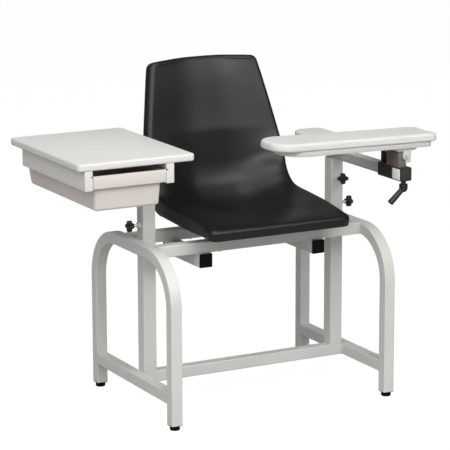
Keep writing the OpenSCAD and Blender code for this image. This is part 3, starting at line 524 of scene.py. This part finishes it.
def rim_directions(across, station, angle, at_side):
    """The sheet's normal at a rim point and the way that the roll leans out from there."""
    normal = sheet_normal(across, station)
    end_sign = -1 if station < last_station / 2 else 1
    if not at_side:
        return normal, normal.cross(Vector((1, 0, 0))).normalized() * end_sign
    run = sheet_run(across, station).normalized()
    side = run.cross(normal).normalized() * (1 if across > 0 else -1)
    lean = run * end_sign * math.cos(angle) + side * math.sin(angle)
    return normal, lean.normalized()


def roll_rim(bm, rim_facts):
    """Extrudes the open edge round the roll and then straight down as the skirt."""
    starts = {v: v.co.copy() for v in rim_facts}
    for ring in range(1, roll_steps + skirt_steps + 1):
        edges = [e for e in bm.edges if e.is_boundary]
        here = {spot(v): v for v in rim_facts}
        grown = bmesh.ops.extrude_edge_only(bm, edges=edges)["geom"]
        next_facts, next_starts = {}, {}
        for v in (g for g in grown if isinstance(g, bmesh.types.BMVert)):
            old = here[spot(v)]
            next_facts[v] = rim_facts[old]
            next_starts[v] = starts[old]
        rim_facts, starts = next_facts, next_starts
        turn = min(ring, roll_steps) / roll_steps * math.pi / 2
        for v, (across, station, angle, at_side) in rim_facts.items():
            normal, lean = rim_directions(across, station, angle, at_side)
            fall = max(0, ring - roll_steps) / skirt_steps * skirt_h * along(skirt_shares, station)
            centre = starts[v] - normal * roll_r
            rise = roll_r * math.cos(turn) - fall
            v.co = centre + lean * roll_r * math.sin(turn) + normal * rise


# %% [markdown]
# The grid is made flat.  Each vertex reads its row and its share of the width from its flat place
# and moves to that place on the dished sheet.  The wall and the last smoothing are modifiers, so
# the shape itself stays a light grid that is easy to change.

# %% Mould the seat
touching = 1e-5


def moulded_seat():
    """The seat's outer skin: a grid moved on to the sheet, with its rim rolled over."""
    bm = bmesh.new()
    rows = len(stations)
    bmesh.ops.create_grid(bm, x_segments=columns, y_segments=rows - 1, size=1)
    rim_facts = {}
    for v in bm.verts:
        across = v.co.x
        row = round((v.co.y + 1) / 2 * (rows - 1))
        station, angle = stations[row], row_angles[row]
        half = half_width(station) - corner_r * (1 - math.sin(angle))
        at_side = abs(abs(across) - 1) < touching
        if at_side or row in (0, rows - 1):
            rim_facts[v] = (across, station, angle, at_side)
        v.co = creased(on_sheet(across, station, half), across)
    roll_rim(bm, rim_facts)
    return hand_over(bm, "Seat", "seat_shell")


seat = moulded_seat()

# %% Wall and last smoothing
wall = seat.modifiers.new("wall", "SOLIDIFY")
wall.thickness = shell_t
wall.offset = -1
smooth = seat.modifiers.new("smooth", "SUBSURF")
smooth.levels = smooth.render_levels = 1
print("seat finished by", [modifier.name for modifier in seat.modifiers])

# %% [markdown]
# ## Slabs with rounded corners
# The table top, the two boards and the cores of the two pads are the same kind of shape: a flat
# slab whose upright corners have a large radius and whose long edges have a small one.  Points on
# the four corner arcs could be worked out, but a bevel does that by itself.  A cube is stretched
# to size, its four upright edges are bevelled first, and the two rims after them.

# %% Slab helper
slab_corner_steps = 12
rim_angle = math.radians(60)


def upright(edge):
    return abs(edge.verts[0].co.z - edge.verts[1].co.z) > touching


def round_edges(bm, edges, radius, segments):
    bmesh.ops.bevel(bm, geom=edges, offset=radius, offset_type="OFFSET", segments=segments,
                    profile=0.5, affect="EDGES", material=-1, clamp_overlap=False)


def slab(x0, x1, half0, half1, thick, corner0, corner1, rim, rim_steps=4):
    """A slab from x0, where it is half0 wide each way, to x1, standing on the floor plane."""
    bm = bmesh.new()
    bmesh.ops.create_cube(bm, size=2)
    for v in bm.verts:
        at_end = v.co.x > 0
        v.co = Vector((x1 if at_end else x0, v.co.y * (half1 if at_end else half0),
                       thick if v.co.z > 0 else 0))
    centre = (x0 + x1) / 2
    for corner, far in ((corner0, False), (corner1, True)):
        edges = [e for e in bm.edges if upright(e) and (e.verts[0].co.x > centre) == far]
        round_edges(bm, edges, corner, slab_corner_steps)
    rims = [e for e in bm.edges if not upright(e) and e.calc_face_angle(0) > rim_angle]
    round_edges(bm, rims, rim, rim_steps)
    return bm


def slab_over(node, corner, rim, name, quarter_turn=False, finish=None):
    """A slab as large as a solid's own box."""
    low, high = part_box(node)
    size, centre = high - low, (low + high) / 2
    long, wide = (size.y, size.x) if quarter_turn else (size.x, size.y)
    bm = slab(-long / 2, long / 2, wide / 2, wide / 2, size.z, corner, corner, rim)
    turn = Matrix.Rotation(math.pi / 2 if quarter_turn else 0, 4, "Z")
    bmesh.ops.transform(bm, matrix=Matrix.Translation((centre.x, centre.y, low.z)) @ turn,
                        verts=bm.verts)
    return hand_over(bm, name, node, finish=finish)


table_corner = 0.012
table_rim = 0.0045
slab_over("table_top", table_corner, table_rim, "Table_top")
rear_board_corner = 0.029
board_rim = 0.0012
slab_over("rear_arm_board", rear_board_corner, board_rim, "Rear_arm_board", quarter_turn=True,
          finish=board_laminate)

# %% [markdown]
# ## The flip-up arm
# The flip-up arm tapers from its free end to its hinge, and it rises a little to the free end.
# Every corner could be worked out in its tilted place, but it is easier to draw the arm level,
# with the hinge pin at the origin of the drawing, and to tilt it as the last step.

# %% Flip-up arm board
flip_tilt = math.radians(1.2)
flip_l = 0.496
flip_past = 0.098
flip_tip_half = 0.073
flip_end_half = 0.063
tip_corner = 0.060
end_corner = 0.022
board_in = 0.006
board_tip_in = 0.030
board_end_in = 0.008
flip_board_t = 0.014
board_rim_steps = 2
flip_pad_t = 0.022
base_clear = 0.0163
base_t = 0.008
board_rise = base_clear + base_t
pad_rise = board_rise + flip_board_t
collar_mid_y = middle("arm_collar").y
pin_low, pin_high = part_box("hinge_pin")
pin = Vector(((pin_low.x + pin_high.x) / 2, collar_mid_y, (pin_low.z + pin_high.z) / 2))
to_hinge = Matrix.Translation(pin) @ Matrix.Rotation(flip_tilt, 4, "Y")


def flip_board():
    bm = slab(flip_past - flip_l + board_in + board_tip_in, flip_past - board_in - board_end_in,
              flip_tip_half - board_in, flip_end_half - board_in, flip_board_t,
              tip_corner, end_corner, board_rim, board_rim_steps)
    to_place = to_hinge @ Matrix.Translation((0, 0, board_rise))
    bmesh.ops.transform(bm, matrix=to_place, verts=bm.verts)
    return hand_over(bm, "Flip_arm_board", "flip_arm_board", finish=board_laminate)


flip_board()

# %% [markdown]
# ## The two padded arm rests
# A pad is foam under stretched vinyl, held to its board.  Drawn as a slab it looks like wood.  So
# the slab is cut into even small faces, blown up a little by a cloth simulation with its underside
# held to the board, and no point may move further than a set distance.  That gives the slight
# crown and the soft shoulder of a real pad.

# %% Blow up a pad
pad_face = 0.0032
pad_swell = 0.0012
pad_pressure = 3.0
swell_steps = 20
least_move = 1e-9


def evaluated_mesh(piece):
    graph = bpy.context.evaluated_depsgraph_get()
    return bpy.data.meshes.new_from_object(piece.evaluated_get(graph))


def even_faces(piece, size):
    remesh = piece.modifiers.new("even", "REMESH")
    remesh.mode = "VOXEL"
    remesh.voxel_size = size
    piece.data = evaluated_mesh(piece)
    piece.modifiers.clear()


def blow_up(piece, pressure, most, held_below):
    rest = [v.co.copy() for v in piece.data.vertices]
    held = piece.vertex_groups.new(name="held")
    held.add([v.index for v in piece.data.vertices if v.co.z < held_below], 1, "REPLACE")
    cloth = piece.modifiers.new("cloth", "CLOTH")
    cloth.settings.use_pressure = True
    cloth.settings.uniform_pressure_force = pressure
    cloth.settings.effector_weights.gravity = 0
    cloth.settings.vertex_group_mass = held.name
    for step in range(1, swell_steps + 1):
        bpy.context.scene.frame_set(step)
    puffed = evaluated_mesh(piece)
    for v, start in zip(puffed.vertices, rest):
        move = v.co - start
        v.co = start + move * min(1, most / max(move.length, least_move))
        v.co.z = max(0, v.co.z)
    piece.modifiers.clear()
    piece.vertex_groups.clear()
    piece.data = puffed
    bpy.context.scene.frame_set(1)


def arm_pad(bm, name, node, place):
    piece = hand_over(bm, name, node)
    even_faces(piece, pad_face)
    blow_up(piece, pad_pressure, pad_swell, pad_face / 2)
    piece.data.transform(place)
    piece.data.shade_smooth()
    piece.data.materials.clear()
    piece.data.materials.append(pad_vinyl)
    smooth = piece.modifiers.new("smooth", "SUBSURF")
    smooth.levels = smooth.render_levels = 1
    print(name, "thickness", round(max(v.co.z for v in piece.data.vertices)
                                   - min(v.co.z for v in piece.data.vertices), 4))
    return piece


# %% Flip-up pad
pad_rim = 0.0055
pad_rim_steps = 5
flip_core = slab(flip_past - flip_l + pad_swell / 2, flip_past - pad_swell / 2,
                 flip_tip_half - pad_swell / 2, flip_end_half - pad_swell / 2,
                 flip_pad_t - pad_swell, tip_corner, end_corner, pad_rim, pad_rim_steps)
arm_pad(flip_core, "Flip_arm_pad", "flip_arm_pad",
        to_hinge @ Matrix.Translation((0, 0, pad_rise)))

# %% Rear pad
rear_low, rear_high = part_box("rear_arm_pad")
rear_size = rear_high - rear_low
rear_corner = 0.038
rear_core = slab(-(rear_size.y - pad_swell) / 2, (rear_size.y - pad_swell) / 2,
                 (rear_size.x - pad_swell) / 2, (rear_size.x - pad_swell) / 2,
                 rear_size.z - pad_swell, rear_corner, rear_corner, pad_rim, pad_rim_steps)
rear_mid = (rear_low + rear_high) / 2
rear_turn = Matrix.Rotation(math.pi / 2, 4, "Z")
arm_pad(rear_core, "Rear_arm_pad", "rear_arm_pad",
        Matrix.Translation((rear_mid.x, rear_mid.y, rear_low.z)) @ rear_turn)

# %% [markdown]
# ## The drawer
# The drawer is one thin moulding: a tray with drawn-in walls, a flange all round its mouth that
# runs in the runners' grooves, and a lip in front that is turned down to pull it by.  Hollowing
# out a block takes a second, inner shape that has to match the outer one.  So the tray is drawn as
# a single sheet, and the wall is given to it at the end.  The wall grows outwards and down from the
# sheet, so the outside of the tray stands one wall beyond its solid's.

# %% Drawer sizes
tray_wall = 0.0028
tray_draft = 0.006
tray_rear_slope = 0.024
rim_w = 0.008
lip_d = 0.015
lip_h = 0.033
flange_t = 0.003
groove_reach = 0.00465
tray_corner = 0.007
tray_corner_steps = 8
tray_floor_r = 0.006
tray_floor_steps = 5
lip_front_r = 0.005
lip_front_steps = 5
lip_edge_r = 0.0015
lip_edge_steps = 2
drawer_low, drawer_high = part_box("drawer_tray")
drawer_half = (drawer_high.x - drawer_low.x) / 2 - groove_reach
drawer_mid_x = (drawer_low.x + drawer_high.x) / 2
print("drawer", round(2 * drawer_half, 3), "wide over its flange")


# %% Mould the tray
def level_with(edge, axis, plane):
    """Whether both ends of an edge lie on a plane that stands square to an axis."""
    return all(abs(getattr(v.co, axis) - plane) < touching for v in edge.verts)


def tray(bm):
    """The tray with its flange, open at the top, drawn by its inner skin."""
    half = drawer_half - rim_w
    y0, y1 = drawer_low.y + lip_d, drawer_high.y - tray_wall
    bmesh.ops.create_cube(bm, size=2)
    for v in bm.verts:
        sunk = v.co.z < 0
        side_in = tray_draft if sunk else 0
        rear_in = tray_rear_slope if sunk else 0
        v.co.x = drawer_mid_x + v.co.x * (half - side_in)
        v.co.y = y0 + side_in if v.co.y < 0 else y1 - rear_in
        v.co.z = drawer_low.z if sunk else drawer_high.z
    round_edges(bm, [e for e in bm.edges if upright(e)], tray_corner, tray_corner_steps)
    base = [e for e in bm.edges if level_with(e, "z", drawer_low.z)]
    round_edges(bm, base, tray_floor_r, tray_floor_steps)
    lids = [f for f in bm.faces if all(level_with(e, "z", drawer_high.z) for e in f.edges)]
    bmesh.ops.delete(bm, geom=lids, context="FACES_ONLY")
    mouth = [e for e in bm.edges if e.is_boundary]
    grown = bmesh.ops.extrude_edge_only(bm, edges=mouth)["geom"]
    flange_y0, flange_y1 = drawer_low.y, drawer_high.y
    for v in (g for g in grown if isinstance(g, bmesh.types.BMVert)):
        v.co.x = drawer_mid_x + (v.co.x - drawer_mid_x) * drawer_half / half
        share = (v.co.y - y0) / (y1 - y0)
        v.co.y = flange_y0 + share * (flange_y1 - flange_y0)
    bmesh.ops.recalc_face_normals(bm, faces=bm.faces)
    bmesh.ops.solidify(bm, geom=bm.faces[:], thickness=tray_wall)


# %% Lip and strips
def box_part(bm, low, high):
    """A box between two corners, as an island of its own."""
    made = bmesh.ops.create_cube(bm, size=1)["verts"]
    size, centre = high - low, (low + high) / 2
    bmesh.ops.scale(bm, vec=size, verts=made)
    bmesh.ops.translate(bm, vec=centre, verts=made)
    return made


def lip(bm):
    """The turned-down lip, hollow underneath for the fingers."""
    made = box_part(bm, Vector((drawer_mid_x - drawer_half, drawer_low.y, drawer_high.z - lip_h)),
                    Vector((drawer_mid_x + drawer_half, drawer_low.y + lip_d, drawer_high.z)))
    under = [f for f in {f for v in made for f in v.link_faces}
             if all(level_with(e, "z", drawer_high.z - lip_h) for e in f.edges)]
    bmesh.ops.inset_region(bm, faces=under, thickness=tray_wall, use_even_offset=True)
    sunk = bmesh.ops.extrude_face_region(bm, geom=under)["geom"]
    bmesh.ops.translate(bm, vec=(0, 0, lip_h - flange_t),
                        verts=[g for g in sunk if isinstance(g, bmesh.types.BMVert)])
    bmesh.ops.delete(bm, geom=under, context="FACES")
    island = {f for v in made for f in v.link_faces}
    edges = {e for f in island for e in f.edges if e.calc_face_angle(0) > rim_angle}
    front_top = [e for e in edges
                 if level_with(e, "y", drawer_low.y) and level_with(e, "z", drawer_high.z)]
    round_edges(bm, front_top, lip_front_r, lip_front_steps)
    front_rest = [e for e in bm.edges if not e.is_boundary and e.calc_face_angle(0) > rim_angle
                  and level_with(e, "y", drawer_low.y)]
    round_edges(bm, front_rest, lip_edge_r, lip_edge_steps)


def strips(bm):
    """The flange's two strips that run in the grooves."""
    for side in (-1, 1):
        x0 = drawer_mid_x + side * (drawer_half - rim_w / 2)
        x1 = drawer_mid_x + side * (drawer_half + groove_reach)
        box_part(bm, Vector((min(x0, x1), drawer_low.y + lip_d, drawer_high.z - flange_t)),
                 Vector((max(x0, x1), drawer_high.y - rim_w, drawer_high.z)))


# %% Put the drawer together
drawer_bm = bmesh.new()
tray(drawer_bm)
lip(drawer_bm)
strips(drawer_bm)
hand_over(drawer_bm, "Drawer", "drawer_tray")

# %% [markdown]
# ## Clamp knobs
# Each knob is moulded with four lobes.  Four cylinders joined to a fifth would leave seams, so the
# outline is one circle whose radius is worked out by angle: near a lobe's middle line the edge is
# the lobe's round end or its flat side, and between the lobes it is the hub.

# %% Knob sizes
knob_r = 0.0155
lobe_r = 0.0056
web_r = 0.0096
knob_t = 0.013
knob_rim = 0.0016
knob_rim_steps = 4
knob_face_in = 0.0022
knob_groove_w = 0.0006
knob_groove_d = 0.0008
knob_collar_r = 0.0078
knob_collar_h = 0.0052
knob_collar_taper_share = 0.92


# %% Knob outline
def knob_outline(angle):
    """The outline's radius at an angle round the knob."""
    quarter = math.pi / 2
    off = abs((angle + quarter / 2) % quarter - quarter / 2)
    reach = knob_r - lobe_r
    across = reach * math.sin(off)
    if across < lobe_r:
        tip = reach * math.cos(off) + math.sqrt(lobe_r ** 2 - across ** 2)
    else:
        tip = 0
    side = lobe_r / max(math.sin(off), touching)
    arm = tip if side * math.cos(off) > reach else side
    return max(web_r, min(arm, knob_r))


# %% Knob body
def knob_body(bm):
    """The four lobes with their rounded rims and the fine groove in the face."""
    made = bmesh.ops.create_circle(bm, segments=96, radius=1, cap_ends=True)["verts"]
    for v in made:
        angle = math.atan2(v.co.y, v.co.x)
        v.co = Vector((math.cos(angle), math.sin(angle), 0)) * knob_outline(angle)
    grown = bmesh.ops.extrude_face_region(bm, geom=bm.faces[:])["geom"]
    bmesh.ops.translate(bm, vec=(0, 0, knob_t),
                        verts=[g for g in grown if isinstance(g, bmesh.types.BMVert)])
    bmesh.ops.recalc_face_normals(bm, faces=bm.faces)
    rims = [e for e in bm.edges if e.calc_face_angle(0) > rim_angle and not upright(e)]
    round_edges(bm, rims, knob_rim, knob_rim_steps)
    top = max(bm.faces, key=lambda f: (f.calc_area(), f.calc_center_median().z))
    bmesh.ops.inset_region(bm, faces=[top], thickness=knob_face_in, use_even_offset=True)
    bmesh.ops.inset_region(bm, faces=[top], thickness=knob_groove_w, depth=-knob_groove_d,
                           use_even_offset=True)


def knob_collar(bm):
    """The short tapered collar below the lobes that the stud enters."""
    collar = bmesh.ops.create_cone(bm, cap_ends=True, segments=48, radius2=knob_collar_r,
                                   radius1=knob_collar_r * knob_collar_taper_share,
                                   depth=knob_collar_h)["verts"]
    bmesh.ops.translate(bm, vec=(0, 0, -knob_collar_h / 2), verts=collar)


# %% Place the three knobs
def star_knob(name, node, axis):
    """A knob whose stud enters along the axis, drawn upright and then turned."""
    bm = bmesh.new()
    knob_body(bm)
    knob_collar(bm)
    low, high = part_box(node)
    centre = (low + high) / 2
    length = abs((high - low).dot(axis))
    start = centre - axis * (length / 2 - knob_collar_h)
    turn = Vector((0, 0, 1)).rotation_difference(axis).to_matrix().to_4x4()
    bmesh.ops.transform(bm, matrix=Matrix.Translation(start) @ turn, verts=bm.verts)
    return hand_over(bm, name, node)


star_knob("Table_knob", "table_knob", Vector((-1, 0, 0)))
star_knob("Arm_low_knob", "arm_low_knob", Vector((1, 0, 0)))
star_knob("Arm_high_knob", "arm_high_knob", Vector((0, -1, 0)))

# %% [markdown]
# ## Clamp lever
# The lever is one moulding in which a tapered grip flows out of a round hub.  The hub starts as a
# ball whose upper half is drawn up into a drum with a low dome, and the grip is a cone.  Modelled
# as separate shapes, the two meet in a hard line.  A voxel remesh melts them into one skin, and a
# smoothing pass leaves a fillet where they meet.

# %% Lever sizes
lever_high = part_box("clamp_lever")[1]
solid_hub_r = 0.010
hub_r = 0.0115
hub_h = 0.019
hub_ball_rise = 0.006
hub_dome_share = 0.55
grip_root_r = 0.0070
grip_tip_r = 0.0084
lever_l = 0.055
lever_slope = math.radians(42)
melt_size = 0.0007
soften_passes = 10
hub_centre = Vector((lever_high.x - solid_hub_r, middle("clamp_lever").y,
                     lever_high.z - hub_h + hub_ball_rise))

# %% Hub and grip
bm = bmesh.new()
hub = bmesh.ops.create_uvsphere(bm, u_segments=48, v_segments=24, radius=hub_r)["verts"]
for v in hub:
    if v.co.z > 0:
        rise = v.co.z / hub_r * (hub_h - hub_ball_rise)
        v.co = v.co.xy.normalized().to_3d() * min(hub_r, v.co.xy.length / hub_dome_share)
        v.co.z = rise
grip = bmesh.ops.create_cone(bm, cap_ends=True, segments=40, radius1=grip_root_r,
                             radius2=grip_tip_r, depth=lever_l)["verts"]
bmesh.ops.translate(bm, vec=(0, 0, lever_l / 2), verts=grip)
lean = Matrix.Rotation(-math.pi / 2 - lever_slope, 4, "Y")
bmesh.ops.transform(bm, matrix=lean, verts=grip)
bmesh.ops.translate(bm, vec=hub_centre, verts=bm.verts)
print("hub and grip have", len(bm.faces), "faces before they melt")

# %% Melt the hub and the grip together
lever = hand_over(bm, "Clamp_lever", "clamp_lever")
melt = lever.modifiers.new("melt", "REMESH")
melt.mode = "VOXEL"
melt.voxel_size = melt_size
soften = lever.modifiers.new("soften", "SMOOTH")
soften.factor = 0.5
soften.iterations = soften_passes
lever.data = evaluated_mesh(lever)
lever.modifiers.clear()
lever.data.shade_smooth()
print("lever melted into", len(lever.data.polygons), "faces")

# %% [markdown]
# ## Studio
# The chair stands on a pale floor in soft light.  The floor is bright where the camera sees it
# directly, but as a source of bounced light it is only half as bright: a fully white floor would
# light up every underside, and the black seat would lose its shape.  A Light Path node tells the
# two kinds of ray apart.

# %% Floor
floor_half = 14.0
floor_bounce = 0.46
floor_glow = 0.955
floor_shadow_share = 0.11
floor_bm = bmesh.new()
bmesh.ops.create_grid(floor_bm, x_segments=8, y_segments=8, size=floor_half)
floor_mesh = bpy.data.meshes.new("Floor")
floor_bm.to_mesh(floor_mesh)
floor_bm.free()
floor = bpy.data.objects.new("Floor", floor_mesh)
bpy.context.scene.collection.objects.link(floor)


def floor_finish():
    """Grey for bounced light; near white, with faint shadows, for the camera."""
    finish = bpy.data.materials.new("studio_floor")
    finish.use_nodes = True
    tree = finish.node_tree
    tree.nodes.clear()
    bounced = add(tree, "ShaderNodeBsdfDiffuse", Color=(*[floor_bounce] * 3, 1))
    shown = add(tree, "ShaderNodeBsdfDiffuse", Color=(*[floor_shadow_share] * 3, 1))
    glow = add(tree, "ShaderNodeEmission", Color=(1, 1, 1, 1), Strength=floor_glow)
    seen = tree.nodes.new("ShaderNodeAddShader")
    tree.links.new(shown.outputs[0], seen.inputs[0])
    tree.links.new(glow.outputs[0], seen.inputs[1])
    either = tree.nodes.new("ShaderNodeMixShader")
    path = tree.nodes.new("ShaderNodeLightPath")
    tree.links.new(path.outputs["Is Camera Ray"], either.inputs[0])
    tree.links.new(bounced.outputs[0], either.inputs[1])
    tree.links.new(seen.outputs[0], either.inputs[2])
    out = tree.nodes.new("ShaderNodeOutputMaterial")
    tree.links.new(either.outputs[0], out.inputs["Surface"])
    return finish


floor_mesh.materials.append(floor_finish())
print("floor", 2 * floor_half, "wide")

# %% [markdown]
# Four softboxes light the chair.  They are area lamps, because a point lamp would cut hard shadows
# and show as a dot in the gloss of the plastic.  A wide one in front makes the fronts bright, and
# one on the left fills the left sides.  A weaker one hangs above for the level faces, and a faint
# one stands behind for the back.  The surround is bright towards the front left and dim towards
# the rear right, which gives the black plastic something light and something dark to mirror.

# %% Softboxes
softbox_away = 3.3
softbox_aim_h = 0.5


def softbox(name, turn, rise, size, power):
    """A lamp that stands turned from the front by one angle and raised by another, in degrees."""
    turn, rise = math.radians(turn), math.radians(rise)
    level = math.cos(rise)
    out = Vector((math.sin(turn) * level, -math.cos(turn) * level, math.sin(rise)))
    data = bpy.data.lights.new(name, "AREA")
    data.shape = "RECTANGLE"
    data.size, data.size_y = size
    data.energy = power
    lamp = bpy.data.objects.new(name, data)
    bpy.context.scene.collection.objects.link(lamp)
    lamp.location = Vector((chair_mid_x, post_mid_y, softbox_aim_h)) + out * softbox_away
    lamp.rotation_euler = out.to_track_quat("Z", "Y").to_euler()
    return lamp


softbox("Front", 8, 37, (2.7, 1.5), 60)
softbox("Left", -50, 38, (2.7, 2.4), 42)
softbox("Above", 0, 84, (2.4, 2.4), 30)
softbox("Rear", 165, 16, (2.6, 1.4), 5)
print(len(bpy.data.lights), "softboxes")

# %% Surround
surround_stops = [(0.42, 0.03), (0.60, 0.40), (0.75, 0.42), (0.95, 0.62)]
towards_bright = (-0.75, -0.62, 0.2)
seen_level = 1.0


def surround():
    """A world that is lit from one side for the chair and even for the camera."""
    world = bpy.data.worlds.new("Studio")
    world.use_nodes = True
    tree = world.node_tree
    way = tree.nodes.new("ShaderNodeTexCoord").outputs["Generated"]
    facing = tree.nodes.new("ShaderNodeVectorMath")
    facing.operation = "DOT_PRODUCT"
    facing.inputs[1].default_value = towards_bright
    tree.links.new(way, facing.inputs[0])
    share = tree.nodes.new("ShaderNodeMapRange")
    share.inputs["From Min"].default_value = -1
    tree.links.new(facing.outputs["Value"], share.inputs["Value"])
    blend = tree.nodes.new("ShaderNodeValToRGB")
    blend.color_ramp.interpolation = "EASE"
    stops = blend.color_ramp.elements
    for position, level in surround_stops[2:]:
        stops.new(position)
    for stop, (position, level) in zip(stops, surround_stops):
        stop.position = position
        stop.color = (level, level, level, 1)
    tree.links.new(share.outputs["Result"], blend.inputs["Fac"])
    path = tree.nodes.new("ShaderNodeLightPath")
    behind = tree.nodes.new("ShaderNodeMix")
    behind.inputs["B"].default_value = seen_level
    tree.links.new(path.outputs["Is Camera Ray"], behind.inputs["Factor"])
    tree.links.new(blend.outputs["Color"], behind.inputs["A"])
    tree.links.new(behind.outputs["Result"], tree.nodes["Background"].inputs["Strength"])
    tree.nodes["Background"].inputs["Color"].default_value = (1, 1, 1, 1)
    return world


bpy.context.scene.world = surround()
print("surround with", len(surround_stops), "levels")

# %% [markdown]
# ## Camera
# The camera stands six metres back with a long lens, to the front left of the chair and a metre
# above its table, looking slightly down.  A constraint could aim it, but it is as short to work
# out its axes from where it stands and what it looks at, with a tiny roll about the view.

# %% Camera
camera_stand = Vector((chair_mid_x - 2.9093, post_mid_y - 5.3702, 1.8332))
camera_aim = Vector((chair_mid_x - 0.05243, post_mid_y, 0.47846))
camera_roll = math.radians(0.163)
camera_lens_mm = 182.32
camera_sensor_mm = 36
camera_data = bpy.data.cameras.new("Camera")
camera_data.lens = camera_lens_mm
camera_data.sensor_width = camera_sensor_mm
camera = bpy.data.objects.new("Camera", camera_data)
bpy.context.scene.collection.objects.link(camera)
ahead = (camera_aim - camera_stand).normalized()
rightwards = ahead.cross(Vector((0, 0, 1))).normalized()
upwards = rightwards.cross(ahead)
rolled_right = rightwards * math.cos(camera_roll) - upwards * math.sin(camera_roll)
rolled_up = rightwards * math.sin(camera_roll) + upwards * math.cos(camera_roll)
axes = Matrix((rolled_right, rolled_up, -ahead)).transposed().to_4x4()
camera.matrix_world = Matrix.Translation(camera_stand) @ axes
bpy.context.scene.camera = camera
bpy.context.scene.view_settings.view_transform = "Standard"
print("camera", round((camera_stand - camera_aim).length, 2), "from what it looks at")
